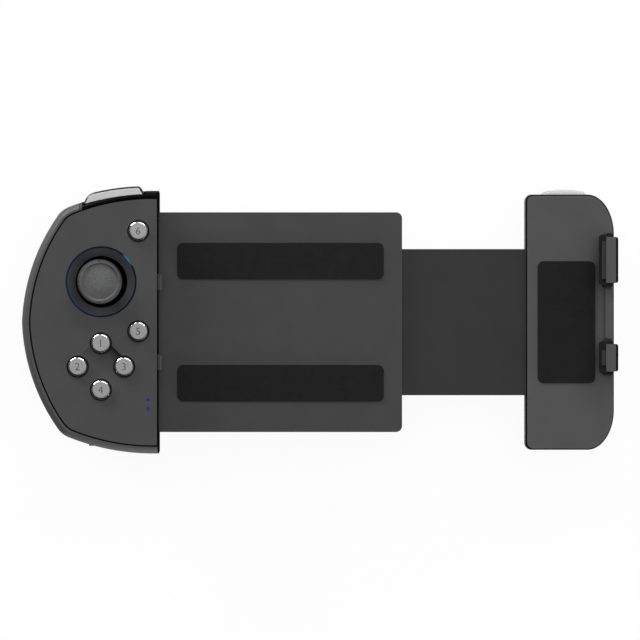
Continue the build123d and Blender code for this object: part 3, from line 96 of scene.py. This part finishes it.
def map_range(tree, value, low, high, start, end):
    """Node output that goes from low to high as the value goes from start to end."""
    made = tree.nodes.new("ShaderNodeMapRange")
    tree.links.new(value, made.inputs["Value"])
    limits = {"From Min": start, "From Max": end, "To Min": low, "To Max": high}
    for name, number in limits.items():
        made.inputs[name].default_value = number
    return made.outputs["Result"]


def vector_math(tree, operation, first, second=None):
    """Node output of one vector operation; a dot product or a length gives a value."""
    made = tree.nodes.new("ShaderNodeVectorMath")
    made.operation = operation
    tree.links.new(first, made.inputs[0])
    if second is not None:
        made.inputs[1].default_value = second
    return made.outputs["Value" if operation in ("DOT_PRODUCT", "LENGTH") else "Vector"]


class Finish:
    """A node material, with short calls for the nodes that most finishes use."""

    def __init__(self, name, colour, rough, metal=0.0, specular=0.5):
        self.material = bpy.data.materials.new(name)
        self.material.use_nodes = True
        self.tree = self.material.node_tree
        self.shader = self.tree.nodes["Principled BSDF"]
        self.shader.inputs["Base Color"].default_value = (*colour, 1)
        self.shader.inputs["Roughness"].default_value = rough
        self.shader.inputs["Metallic"].default_value = metal
        self.shader.inputs["Specular IOR Level"].default_value = specular
        self.normal = None

    def add(self, kind, **inputs):
        """A node of one kind, with its inputs linked or set by name."""
        made = self.tree.nodes.new(kind)
        for name, value in inputs.items():
            self.put(made, name.replace("_", " "), value)
        return made

    def put(self, made, socket, value):
        """Links an output to an input, or writes a value there."""
        if isinstance(value, bpy.types.NodeSocket):
            self.tree.links.new(value, made.inputs[socket])
        else:
            made.inputs[socket].default_value = value

    def set(self, name, value):
        """Links or sets one input of the shader."""
        self.put(self.shader, name, value)

    def place(self):
        """Object coordinates, in metres."""
        return self.add("ShaderNodeTexCoord").outputs["Object"]

    def along(self, axis):
        """Place along one axis of the object, in metres."""
        return self.add("ShaderNodeSeparateXYZ", Vector=self.place()).outputs[axis]

    def facing(self, axis):
        """How far the surface faces along one axis, from -1 to 1."""
        normal = self.add("ShaderNodeNewGeometry").outputs["Normal"]
        return self.add("ShaderNodeSeparateXYZ", Vector=normal).outputs[axis]

    def noise(self, size, detail=2.0, stretch=(1, 1, 1)):
        """Noise whose grains are about size metres across."""
        mapped = self.add("ShaderNodeMapping", Vector=self.place(), Scale=stretch)
        made = self.add(
            "ShaderNodeTexNoise", Vector=mapped.outputs["Vector"], Scale=1 / size, Detail=detail
        )
        return made.outputs["Fac"]

    def vector(self, operation, first, second=None):
        """Output of one vector operation."""
        return vector_math(self.tree, operation, first, second)

    def spread(self, value, low, high, start=NOISE_LOW, end=NOISE_HIGH):
        """A value that goes from low to high as the given one goes from start to end."""
        return map_range(self.tree, value, low, high, start, end)

    def around(self, value, middle, reach):
        """A noise spread evenly round a middle value."""
        return self.spread(value, middle - reach, middle + reach)

    def mix(self, factor, first, second):
        """A colour between two, by a factor."""
        made = self.tree.nodes.new("ShaderNodeMix")
        made.data_type = "RGBA"
        colours = [(*item, 1) if isinstance(item, tuple) else item for item in (first, second)]
        for socket, value in zip(MIX_COLOUR_IN, (factor, *colours)):
            self.put(made, socket, value)
        return made.outputs[MIX_COLOUR_OUT]

    def between(self, factor, first, second):
        """A value between two, by a factor."""
        made = self.tree.nodes.new("ShaderNodeMix")
        for socket, value in zip(MIX_VALUE_IN, (factor, first, second)):
            self.put(made, socket, value)
        return made.outputs[MIX_VALUE_OUT]

    def shades(self, noise, colour, darker, lighter):
        """A colour that a noise makes darker and lighter by two factors."""
        return self.mix(
            self.spread(noise, 0.0, 1.0), shaded(colour, darker), shaded(colour, lighter)
        )

    def multiply(self, first, second):
        """The product of two values, or of two masks."""
        made = self.tree.nodes.new("ShaderNodeMath")
        made.operation = "MULTIPLY"
        self.put(made, 0, first)
        self.put(made, 1, second)
        return made.outputs[0]

    def band(self, value, low, high, edge):
        """A mask that is one from low to high and fades over edge on both sides."""
        return self.multiply(
            self.spread(value, 0.0, 1.0, low - edge, low),
            self.spread(value, 1.0, 0.0, high, high + edge),
        )

    def under(self, axis, level, depths):
        """A mask that is one below a level by the first depth, and zero by the second."""
        return self.spread(self.along(axis), 1, 0, level - depths[0], level - depths[1])

    def over(self, axis, level, depths):
        """A mask that is zero below a level by the first depth, and one by the second."""
        return self.spread(self.along(axis), 0, 1, level - depths[0], level - depths[1])

    def toward(self, axis, facings):
        """A mask that is one where the surface faces along an axis."""
        return self.spread(self.facing(axis), 0, 1, *facings)

    def steep(self, facings):
        """A mask that is one where the surface doesn't face up."""
        return self.spread(self.facing("Z"), 1, 0, *facings)

    def paint(self, mask, colour):
        """Lays a flat, dull colour over the finish where the mask is one."""
        base = self.shader.inputs["Base Color"]
        below = base.links[0].from_socket if base.links else tuple(base.default_value[:3])
        self.set("Base Color", self.mix(mask, below, colour))
        specular = self.shader.inputs["Specular IOR Level"]
        level = specular.links[0].from_socket if specular.links else specular.default_value
        self.set("Specular IOR Level", self.multiply(self.spread(mask, 1, 0, 0, 1), level))

    def bump(self, height, depth):
        """Relief of the given depth in metres, on top of the relief so far."""
        made = self.add("ShaderNodeBump", Height=height, Distance=depth)
        if self.normal is not None:
            self.tree.links.new(self.normal, made.inputs["Normal"])
        self.normal = made.outputs["Normal"]
        self.set("Normal", self.normal)


def shaded(colour, factor):
    """A colour made lighter or darker by a factor."""
    return tuple(channel * factor for channel in colour)


PLASTIC_SPECULAR = 0.18
PLASTIC_DETAIL = 3.0
MOTTLE_SIZE = 9 * MM
MOTTLE = 0.05                    # how much darker and lighter the mottling is
SHEEN_SIZE = 1.1 * MM
SHEEN_UNEVEN = 0.05


def plastic(name, colour, rough, grain=0.22 * MM, relief=0.012 * MM):
    """Moulded plastic: spark-eroded grain, faint mottling and an uneven sheen."""
    finish = Finish(name, colour, rough, specular=PLASTIC_SPECULAR)
    broad = finish.noise(MOTTLE_SIZE, detail=PLASTIC_DETAIL)
    finish.set("Base Color", finish.shades(broad, colour, 1 - MOTTLE, 1 + MOTTLE))
    finish.set("Roughness", finish.around(finish.noise(SHEEN_SIZE), rough, SHEEN_UNEVEN))
    finish.bump(finish.noise(grain, detail=PLASTIC_DETAIL), relief)
    return finish


GLOSS_SHEEN_SIZE = 2.0 * MM
GLOSS_SMOOTHEST, GLOSS_ROUGHEST = 0.7, 1.5
RIPPLE_SIZE = 1.6 * MM
RIPPLE_DETAIL = 1.0
RIPPLE_DEPTH = 0.004 * MM


def gloss(name, colour, rough, specular):
    """Black gloss plastic with a faint orange-peel ripple."""
    finish = Finish(name, colour, rough, specular=specular)
    finish.set("Roughness", finish.spread(
        finish.noise(GLOSS_SHEEN_SIZE), rough * GLOSS_SMOOTHEST, rough * GLOSS_ROUGHEST
    ))
    finish.bump(finish.noise(RIPPLE_SIZE, detail=RIPPLE_DETAIL), RIPPLE_DEPTH)
    return finish


RUBBER_SPECULAR = 0.15
DUST_SIZE = 0.6 * MM
DUST_DETAIL = 4.0
DUST_DARKEST, DUST_LIGHTEST = 0.85, 1.25
RUBBER_SHEEN_SIZE = 3 * MM
RUBBER_UNEVEN = 0.08
TOOTH_SIZE = 0.16 * MM
TOOTH_DEPTH = 0.015 * MM


def rubber(name, colour, rough=0.72):
    """Silicone rubber: fine tooth, dull, slightly dusty."""
    finish = Finish(name, colour, rough, specular=RUBBER_SPECULAR)
    dust = finish.noise(DUST_SIZE, detail=DUST_DETAIL)
    finish.set("Base Color", finish.shades(dust, colour, DUST_DARKEST, DUST_LIGHTEST))
    finish.set("Roughness", finish.around(
        finish.noise(RUBBER_SHEEN_SIZE), rough, RUBBER_UNEVEN
    ))
    finish.bump(finish.noise(TOOTH_SIZE), TOOTH_DEPTH)
    return finish


SILVER_ROUGH = 0.3
SATIN_ROUGH = (0.30, 0.46)
POLISHED_ROUGH = 0.10
FLAT_FACING = (0.93, 0.99)       # from the bevel to the flat top
PLATING_SHADE_EDGE = 0.03 * MM           # over which the plating ends and the black painted shade begins
UNPLATED_SHADE_COLOUR = (0.006, 0.006, 0.006)
SPECKLE_SIZE = 0.25 * MM
SPECKLE_DETAIL = 3.0
SPECKLE_DARKEST, SPECKLE_LIGHTEST = 0.9, 1.08
SPECKLE_DEPTH = 0.004 * MM


def satin_silver(name, shade_level, level, metal):
    """Plated cap: satin where it is flat on top, polished on the bevel, and below a level bare
    black plastic, painted shade for a flange in its hole and for a rounded edge.
    """
    colour = (level, level, level)
    finish = Finish(name, colour, SILVER_ROUGH, metal=metal)
    # Painted shade: below the level the cap is black and not metal
    plated_unshaded = finish.over("Z", shade_level, (PLATING_SHADE_EDGE, 0))
    flat = finish.toward("Z", FLAT_FACING)
    speckle = finish.noise(SPECKLE_SIZE, detail=SPECKLE_DETAIL)
    satin = finish.spread(speckle, *SATIN_ROUGH)
    finish.set("Roughness", finish.between(flat, POLISHED_ROUGH, satin))
    silver = finish.shades(speckle, colour, SPECKLE_DARKEST, SPECKLE_LIGHTEST)
    finish.set("Base Color", finish.mix(plated_unshaded, UNPLATED_SHADE_COLOUR, silver))
    finish.set("Metallic", finish.multiply(plated_unshaded, metal))
    finish.bump(speckle, SPECKLE_DEPTH)
    return finish


STEEL_ROUGH = 0.32
STEEL_LINE_SIZE = 0.5 * MM
STEEL_DETAIL = 3.0
STEEL_STRETCH = (12, 1, 1)
STEEL_SPREAD = (0.24, 0.42)
STEEL_DEPTH = 0.003 * MM


def brushed_steel(name, colour):
    """Turned or brushed steel, with fine lines along one way."""
    finish = Finish(name, colour, STEEL_ROUGH, metal=1.0)
    lines = finish.noise(STEEL_LINE_SIZE, detail=STEEL_DETAIL, stretch=STEEL_STRETCH)
    finish.set("Roughness", finish.spread(lines, *STEEL_SPREAD))
    finish.bump(lines, STEEL_DEPTH)
    return finish


PIPE_ROUGH = 0.25
PIPE_SHADE = 0.4                 # colour of the unlit plastic, as a share of its light
PIPE_GRAIN = 0.8 * MM
PIPE_UNEVEN = 0.15


def glowing(name, colour):
    """Clear plastic lit from behind by a lamp."""
    finish = Finish(name, shaded(colour, PIPE_SHADE), PIPE_ROUGH)
    finish.shader.inputs["Emission Color"].default_value = (*colour, 1)
    hot = finish.noise(PIPE_GRAIN)
    finish.set("Emission Strength", finish.around(hot, 1.0, PIPE_UNEVEN))
    return finish


# Light ring of the stick: where a painted glint makes its light bright, and where it is faint
RING_GLINT_SIDE = (0.77, 0.64, 0)
RING_GLINT_SPAN = (0.975, 1.0)
RING_FAINT_SIDE = (-0.98, -0.2, 0)
RING_FAINT_SPAN = (-0.2, 1.0)
RING_PLASTIC = (0.002, 0.003, 0.006)
RING_DARK = (0.0005, 0.001, 0.004)
RING_FAINT = (0.002, 0.010, 0.035)
RING_GLINT_COLOUR = (0.02, 0.17, 0.34)
RING_ROUGH = 0.3
RING_SPECULAR = 0.15


def ring_light(name, centre):
    """Light ring: a painted glint bright towards one side, faint on another, dark elsewhere."""
    finish = Finish(name, RING_PLASTIC, RING_ROUGH, specular=RING_SPECULAR)
    outward = finish.vector("NORMALIZE", finish.vector("SUBTRACT", finish.place(), centre))
    bright, faint = (
        finish.spread(finish.vector("DOT_PRODUCT", outward, side), 0.0, 1.0, *span)
        for side, span in (
            (RING_GLINT_SIDE, RING_GLINT_SPAN), (RING_FAINT_SIDE, RING_FAINT_SPAN)
        )
    )
    low_light = finish.mix(faint, RING_DARK, RING_FAINT)
    # Painted glint: the ring's light is bright only towards one side
    finish.set("Emission Color", finish.mix(bright, low_light, RING_GLINT_COLOUR))
    finish.shader.inputs["Emission Strength"].default_value = 1.0
    return finish


def middle(name):
    """Middle of a node's box."""
    return sum(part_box(name), Vector()) / 2


STICK_CENTRE = middle("light_ring")
DISH_CENTRE = (
    sum((middle(f"button_{number}") for number in DISH_BUTTONS), Vector()) / len(DISH_BUTTONS)
)
# Levels below which the caps are black, painted shade: a button's flange in its hole, and L1's
# rounded outer edge
BUTTON_SHADE_LEVEL = FACE_TOP - 0.1 * MM
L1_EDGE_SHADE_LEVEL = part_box("l1_button")[1].z - 0.05 * MM

SHELL_COLOUR = (0.076, 0.076, 0.077)
FINISHES = {
    "face": plastic("face_plastic", (0.060, 0.060, 0.061), 0.52),
    "shell": plastic("shell_plastic", SHELL_COLOUR, 0.46),
    "bracket": plastic("bracket_plastic", (0.074, 0.074, 0.075), 0.48),
    "tray": plastic(
        "tray_plastic", (0.050, 0.050, 0.051), 0.5, grain=0.3 * MM, relief=0.02 * MM
    ),
    "claw": plastic("claw_plastic", (0.074, 0.074, 0.075), 0.48),
    "surround": plastic("surround_plastic", (0.036, 0.038, 0.043), 0.36),
    "gloss": gloss("black_gloss", (0.003, 0.003, 0.003), 0.3, specular=0.02),
    "dark": gloss("dark_satin", (0.004, 0.004, 0.0045), 0.3, specular=0.25),
    "rubber": rubber("rubber_black", (0.010, 0.010, 0.0105)),
    "thumb": rubber("cap_rubber", (0.105, 0.105, 0.106), 0.55),
    "button": satin_silver("button_silver", BUTTON_SHADE_LEVEL, 0.88, 1.0),
    "silver": satin_silver("silver_cap", L1_EDGE_SHADE_LEVEL, 0.96, 0.80),
    "trigger": satin_silver("trigger_silver", 0.0, 0.81, 0.60),
    "bumper": rubber("bumper_rubber", (0.045, 0.045, 0.046)),
    "steel": brushed_steel("steel", (0.50, 0.50, 0.51)),
    "tongue": plastic("tongue_metal", (0.030, 0.030, 0.031), 0.4, grain=0.12 * MM),
    "board": plastic("board", (0.01, 0.07, 0.03), 0.35),
    "battery": plastic("battery_wrap", (0.30, 0.32, 0.35), 0.4),
    "silicone": rubber("silicone", (0.32, 0.32, 0.32), 0.5),
    "nylon": plastic("nylon", (0.45, 0.45, 0.43), 0.45),
    "ribbon": plastic("ribbon", (0.42, 0.18, 0.035), 0.35),
    "blue": glowing("light_pipe", (0.006, 0.006, 0.21)),
    "ring": ring_light("light_ring", STICK_CENTRE),
    "numeral": plastic("numeral_ink", (0.11, 0.11, 0.11), 0.5),
}

NODE_FINISHES = {
    "face": ["face_plate"],
    "shell": ["front_shell", "rear_shell"],
    "bracket": ["hand_front", "hand_rear"],
    "claw": ["upper_claw", "lower_claw"],
    "tray": ["tray_floor", "tray_back"],
    "surround": ["stick_surround"],
    "gloss": ["shoulder_bezel"],
    "dark": ["stick_skirt", "stick_cap", "slider_knob"],
    "rubber": [
        "palm_pad", "tray_pads", "hand_pad", "upper_claw_liner", "lower_claw_liner",
    ],
    "thumb": ["cap_rubber"],
    "button": [f"button_{number}" for number in BUTTONS],
    "silver": ["l1_button"],
    "trigger": ["r1_button"],
    "bumper": ["wall_bumpers"],
    "steel": [
        "charge_port_shell", "stick_can", "l1_pin", "grip_screws", "tray_screws",
        "clamp_springs", "tongue_screws", "hand_screws", "stick_shaft",
    ],
    "tongue": ["tongue"],
    "board": ["main_board", "button_board", "io_board", "trigger_board"],
    "battery": ["battery"],
    "silicone": ["keypad_mat"],
    "nylon": [
        "charge_port_tongue", "slider_housing", "stick_base", "tilt_sensors", "l1_switch",
        "gimbal_yoke", "pivot_block", "r1_switch",
    ],
    "ribbon": ["ribbon_cable"],
    "blue": ["light_pipes"],
    "ring": ["light_ring"],
}

# Painted edges, most of them painted shade. Depths are measured down or inward from the level
# beside them, and facings say how far the surface turns along an axis where the paint starts and
# ends.
# Black for painted shade on edges, in seams and in recesses
SHADE_BLACK = (0.003, 0.003, 0.003)
FACE_SEAM_SHADE_FACING = (0.75, 0.85)
DIAGONAL = (math.sqrt(0.5), math.sqrt(0.5), 0)
DISH_SHADE = (3.6 * MM, 7.4 * MM)  # from the middle of the dish, along the diagonal
DISH_DARKEST = 0.85
DISH_DEPTHS = (0.10 * MM, 0.02 * MM)
LEDGE_SHADE_DEPTHS = (2.1 * MM, 1.9 * MM)
LEDGE_SHADE_FADE = 0.05 * MM
LEDGE_SHADE_FACING = (0.9, 0.95)
WALL_SHADE_DEPTHS = (0.15 * MM, 0.05 * MM)
WALL_SHADE_FACING = (0.7, 0.8)
HAND_EDGE_SHADE_DEPTHS = (1.1 * MM, 0.06 * MM)
HAND_EDGE_SHADE_FADE = 0.04 * MM
HAND_EDGE_SHADE_FACING = (0.8, 0.95)
TRAY_EDGE_SHADE_FACING = (0.5, 0.7)
CLAW_LIP_COLOUR = (0.040, 0.040, 0.041)
CLAW_LIP_DEPTHS = (0.4 * MM, 0.3 * MM)
CLAW_SIDE_SHADE_FACING = (0.90, 0.97)
CLAW_END_SHADE_DEPTHS = (0.9 * MM, 0.75 * MM)
CAP_EDGE_SHADE = (5.9 * MM, 7.3 * MM)    # from the middle of the stick, where painted shade darkens the cap's edge
CAP_EDGE_SHADE_COLOUR = (0.02, 0.02, 0.02)
CAP_TICKS = (6.35 * MM, 6.9 * MM)  # likewise, the ticks across its rim
TICK_COLOUR = (0.03, 0.03, 0.03)
TICK_HALF_WIDTH = 0.2 * MM
TICK_FADE = 0.05 * MM
TRIGGER_END_SHADE_DEPTHS = (0.75 * MM, 0.6 * MM)
BEZEL_END_DEPTHS = (0.2 * MM, 0.1 * MM)


def paint_face():
    """Painted shade: black on the face plate's steep sides, and the shade in the dish between four
    buttons.
    """
    face = FINISHES["face"]
    # Painted shade: the face plate's steep sides are black, for the shadow in the seam round it
    face.paint(face.steep(FACE_SEAM_SHADE_FACING), SHADE_BLACK)
    across = face.vector("DOT_PRODUCT", face.place(), DIAGONAL)
    start = DISH_CENTRE.dot(Vector(DIAGONAL))
    shade = face.spread(across, 0.0, DISH_DARKEST, *(start + away for away in DISH_SHADE))
    sunk = face.under("Z", FACE_TOP, DISH_DEPTHS)
    face.paint(face.multiply(shade, sunk), SHADE_BLACK)


def paint_shell():
    """Painted shade: black on the ledge under the face plate, and on the wall on the tray's side.
    """
    shell, bezel = FINISHES["shell"], FINISHES["gloss"]
    # Painted shade: the ledge under the face plate's seam is black, for the shadow in the seam
    ledge = shell.band(shell.along("Z"), *(FACE_TOP - depth for depth in LEDGE_SHADE_DEPTHS), LEDGE_SHADE_FADE)
    shell.paint(shell.multiply(ledge, shell.toward("Z", LEDGE_SHADE_FACING)), SHADE_BLACK)
    wall_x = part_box("face_plate")[1].x
    # Painted shade: the wall that faces the tray is black and without sheen, for the shadow there
    for finish in (shell, bezel):
        wall = finish.over("X", wall_x, WALL_SHADE_DEPTHS)
        finish.paint(finish.multiply(wall, finish.toward("X", WALL_SHADE_FACING)), SHADE_BLACK)

    # The outer end of the shoulder bezel is moulded to look like the rim beside it
    l1_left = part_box("l1_button")[0].x
    bezel.paint(bezel.under("X", l1_left, BEZEL_END_DEPTHS), SHELL_COLOUR)


def paint_hand_and_tray():
    """Painted shade: black on the rounded edges of the hand's front and of the tray."""
    bracket, tray = FINISHES["bracket"], FINISHES["tray"]
    hand_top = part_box("tray_floor")[1].z  # the hand's front is level with the tray
    # Painted shade: a black band on the rounded top edge of the hand's front, for the dark those
    # edges show
    edge = bracket.band(
        bracket.along("Z"), *(hand_top - depth for depth in HAND_EDGE_SHADE_DEPTHS), HAND_EDGE_SHADE_FADE
    )
    bracket.paint(bracket.multiply(edge, bracket.steep(HAND_EDGE_SHADE_FACING)), SHADE_BLACK)
    # Painted shade: the tray's steep edges are black
    tray.paint(tray.steep(TRAY_EDGE_SHADE_FACING), SHADE_BLACK)


def paint_claws():
    """Lips of the claws, darker than their crowns, and painted shade: black on their sides and
    outer ends.
    """
    claw = FINISHES["claw"]
    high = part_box("upper_claw")[1]
    claw.paint(claw.under("Z", high.z, CLAW_LIP_DEPTHS), CLAW_LIP_COLOUR)
    # Painted shade: the claws' steep sides and outer ends are black, for the dark on their rounded
    # edges
    claw.paint(claw.steep(CLAW_SIDE_SHADE_FACING), SHADE_BLACK)
    claw.paint(claw.over("X", high.x, CLAW_END_SHADE_DEPTHS), SHADE_BLACK)


def paint_cap():
    """Painted shade on the edge of the thumb cap, and four ticks across its rim."""
    thumb = FINISHES["thumb"]
    away = thumb.vector("SUBTRACT", thumb.place(), STICK_CENTRE)
    parts = thumb.add("ShaderNodeSeparateXYZ", Vector=away)
    level = thumb.add("ShaderNodeCombineXYZ", X=parts.outputs["X"], Y=parts.outputs["Y"])
    distance = thumb.vector("LENGTH", level.outputs["Vector"])
    # Painted shade: the cap darkens towards its rounded outer edge
    thumb.paint(thumb.spread(distance, 0, 1, *CAP_EDGE_SHADE), CAP_EDGE_SHADE_COLOUR)
    rim = thumb.band(distance, *CAP_TICKS, TICK_FADE)
    for axis in "XY":
        tick = thumb.band(parts.outputs[axis], -TICK_HALF_WIDTH, TICK_HALF_WIDTH, TICK_FADE)
        thumb.paint(thumb.multiply(rim, tick), TICK_COLOUR)


def paint_trigger():
    """Painted shade: black on the right end of R1."""
    trigger = FINISHES["trigger"]
    # Painted shade: the right end of R1 is black, for the dark on its rounded end
    trigger.paint(trigger.over("X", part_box("r1_button")[1].x, TRIGGER_END_SHADE_DEPTHS), SHADE_BLACK)


def dress_nodes():
    """Gives every CAD node its finish."""
    for finish, names in NODE_FINISHES.items():
        for name in names:
            mesh = nodes[name].data
            mesh.materials.clear()
            mesh.materials.append(FINISHES[finish].material)


END_LENGTH = 0.2 * MM            # inset at each end of the piece's box


def stretch(name, slot, fixed_side):
    """A copy of a CAD node in its place, with the node hidden; the ends of the clamp's slide are
    worked out but not used.
    """
    low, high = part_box(name)
    inset = Vector((END_LENGTH, 0, 0))
    fixed, moving = low + inset, high - inset
    if fixed_side == "right":
        fixed, moving = moving, fixed
    moving.y, moving.z = fixed.y, fixed.z
    piece = bpy.data.objects.new(f"{name}_visual", nodes[name].data.copy())
    bpy.context.scene.collection.objects.link(piece)
    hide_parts(name)
    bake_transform(piece)


SHEET = 0                        # stands for the sheet where domes go by button number
MAT_THICKNESS = 0.4 * MM
DOME_REACH = 3.1 * MM            # just past the foot of a dome
WELD = 0.002 * MM


def split_domes():
    """The keypad mat as a sheet, which goes with the grip, and six domes as pieces of their own.
    """
    low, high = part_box("keypad_mat")
    foot = low.z + MAT_THICKNESS
    centres = {number: middle(f"button_{number}") for number in BUTTONS}

    def dome_of(face):
        """Number of the dome that a face belongs to, or that of the sheet."""
        for number, centre in centres.items():
            if all(
                corner.co.z > foot - WELD and (corner.co - centre).xy.length < DOME_REACH
                for corner in face.verts
            ):
                return number
        return SHEET

    for number in (SHEET, *BUTTONS):
        shape = bmesh.new()
        shape.from_mesh(nodes["keypad_mat"].data)
        bmesh.ops.remove_doubles(shape, verts=shape.verts, dist=WELD)
        others = [face for face in shape.faces if dome_of(face) != number]
        bmesh.ops.delete(shape, geom=others, context="FACES")
        bmesh.ops.holes_fill(shape, edges=[edge for edge in shape.edges if edge.is_boundary])
        mesh = bpy.data.meshes.new("keypad_part")
        shape.to_mesh(mesh)
        shape.free()
        mesh.materials.append(FINISHES["silicone"].material)
        name = "keypad_sheet" if number == SHEET else f"keypad_dome_{number}"
        piece = bpy.data.objects.new(name, mesh)
        bpy.context.scene.collection.objects.link(piece)
        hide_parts("keypad_mat")
        if number == SHEET:
            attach(piece, "grip")
        else:
            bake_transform(piece)


NUMERAL_HEIGHT = 2.4 * MM
NUMERAL_THICKNESS = 0.02 * MM
FONT_HEIGHT_SHARE = 0.70         # height of a digit at font size one


def numeral(number):
    """A plain number inlaid in the top of a face button."""
    low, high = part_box(f"button_{number}")
    text = bpy.data.curves.new(f"numeral_{number}", "FONT")
    text.body = str(number)
    text.size = NUMERAL_HEIGHT / FONT_HEIGHT_SHARE
    text.align_x = "CENTER"
    text.align_y = "CENTER"
    text.extrude = NUMERAL_THICKNESS / 2
    maker = bpy.data.objects.new("numeral_maker", text)
    mesh = bpy.data.meshes.new_from_object(maker)
    piece = bpy.data.objects.new(f"numeral_{number}", mesh)
    bpy.data.objects.remove(maker)
    bpy.context.scene.collection.objects.link(piece)
    corners = [vertex.co for vertex in mesh.vertices]
    middle_x = (min(c.x for c in corners) + max(c.x for c in corners)) / 2
    middle_y = (min(c.y for c in corners) + max(c.y for c in corners)) / 2
    centre = (low + high) / 2
    mesh.transform(Matrix.Translation((centre.x - middle_x, centre.y - middle_y, high.z)))
    mesh.materials.clear()
    mesh.materials.append(FINISHES["numeral"].material)
    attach(piece, f"button_{number}_cap")


def add_camera():
    """Camera straight above, with the picture's field of view."""
    data = bpy.data.cameras.new("camera")
    data.sensor_width = SENSOR_WIDTH
    data.lens = SENSOR_WIDTH * CAMERA_HEIGHT / VIEW_WIDTH
    data.clip_start = CAMERA_NEAR
    data.clip_end = CAMERA_FAR
    camera = bpy.data.objects.new("camera", data)
    camera.location = (CAMERA_X, CAMERA_Y, FACE_TOP + CAMERA_HEIGHT)
    bpy.context.scene.collection.objects.link(camera)
    bpy.context.scene.camera = camera


def add_lamps():
    """Soft area lamps that face the object."""
    for name, place, size, power, in_gloss in LAMPS:
        data = bpy.data.lights.new(name, "AREA")
        data.shape = "RECTANGLE"
        data.size, data.size_y = size
        data.energy = power
        lamp = bpy.data.objects.new(name, data)
        lamp.location = place
        lamp.rotation_euler = Vector(place).to_track_quat("Z", "Y").to_euler()
        lamp.visible_camera = False
        lamp.visible_glossy = in_gloss
        bpy.context.scene.collection.objects.link(lamp)


def add_world():
    """A world that is bright overhead, dim towards the horizon and dark on one side."""
    world = bpy.data.worlds.new("world")
    world.use_nodes = True
    bpy.context.scene.world = world
    tree = world.node_tree
    background = tree.nodes["Background"]
    background.inputs["Color"].default_value = (1, 1, 1, 1)
    direction = tree.nodes.new("ShaderNodeTexCoord").outputs["Generated"]
    split = tree.nodes.new("ShaderNodeSeparateXYZ")
    tree.links.new(direction, split.inputs[0])
    level = map_range(
        tree, split.outputs["Z"], WORLD_LOW, WORLD_HIGH, WORLD_HORIZON, 1.0
    )
    side = vector_math(tree, "DOT_PRODUCT", direction, WORLD_BRIGHT_SIDE)
    share = map_range(tree, side, WORLD_DARK_SHARE, 1.0, *WORLD_SIDE_SPAN)
    strength = tree.nodes.new("ShaderNodeMath")
    strength.operation = "MULTIPLY"
    tree.links.new(level, strength.inputs[0])
    tree.links.new(share, strength.inputs[1])
    tree.links.new(strength.outputs[0], background.inputs["Strength"])


def add_floor():
    """A pale table top that keeps the object's shadow."""
    mesh = bpy.data.meshes.new("floor")
    half = FLOOR_SIZE / 2
    corners = [(-half, -half, 0), (half, -half, 0), (half, half, 0), (-half, half, 0)]
    mesh.from_pydata(corners, [], [(0, 1, 2, 3)])
    floor = bpy.data.objects.new("floor", mesh)
    bpy.context.scene.collection.objects.link(floor)
    finish = Finish("floor_paint", FLOOR_COLOUR, FLOOR_ROUGH, specular=FLOOR_SPECULAR)
    finish.set("Roughness", finish.around(
        finish.noise(FLOOR_GRAIN), FLOOR_ROUGH, FLOOR_UNEVEN
    ))
    seen = finish.add("ShaderNodeLightPath").outputs["Is Camera Ray"]
    glow = finish.add("ShaderNodeEmission", Color=(1, 1, 1, 1), Strength=FLOOR_GLOW)
    factor = finish.spread(seen, 0.0, FLOOR_GLOW_SHARE, 0.0, 1.0)
    both = finish.add("ShaderNodeMixShader")
    finish.tree.links.new(factor, both.inputs[0])
    finish.tree.links.new(finish.shader.outputs[0], both.inputs[1])
    finish.tree.links.new(glow.outputs[0], both.inputs[2])
    finish.tree.links.new(both.outputs[0], finish.tree.nodes["Material Output"].inputs["Surface"])
    mesh.materials.append(finish.material)


paint_face()
paint_shell()
paint_hand_and_tray()
paint_claws()
paint_cap()
paint_trigger()
dress_nodes()
stretch("ribbon_cable", "ribbon", "left")
stretch("clamp_springs", "steel", "right")
split_domes()
for number in BUTTONS:
    numeral(number)
add_camera()
add_lamps()
add_world()
add_floor()
bpy.context.scene.view_settings.view_transform = "Standard"
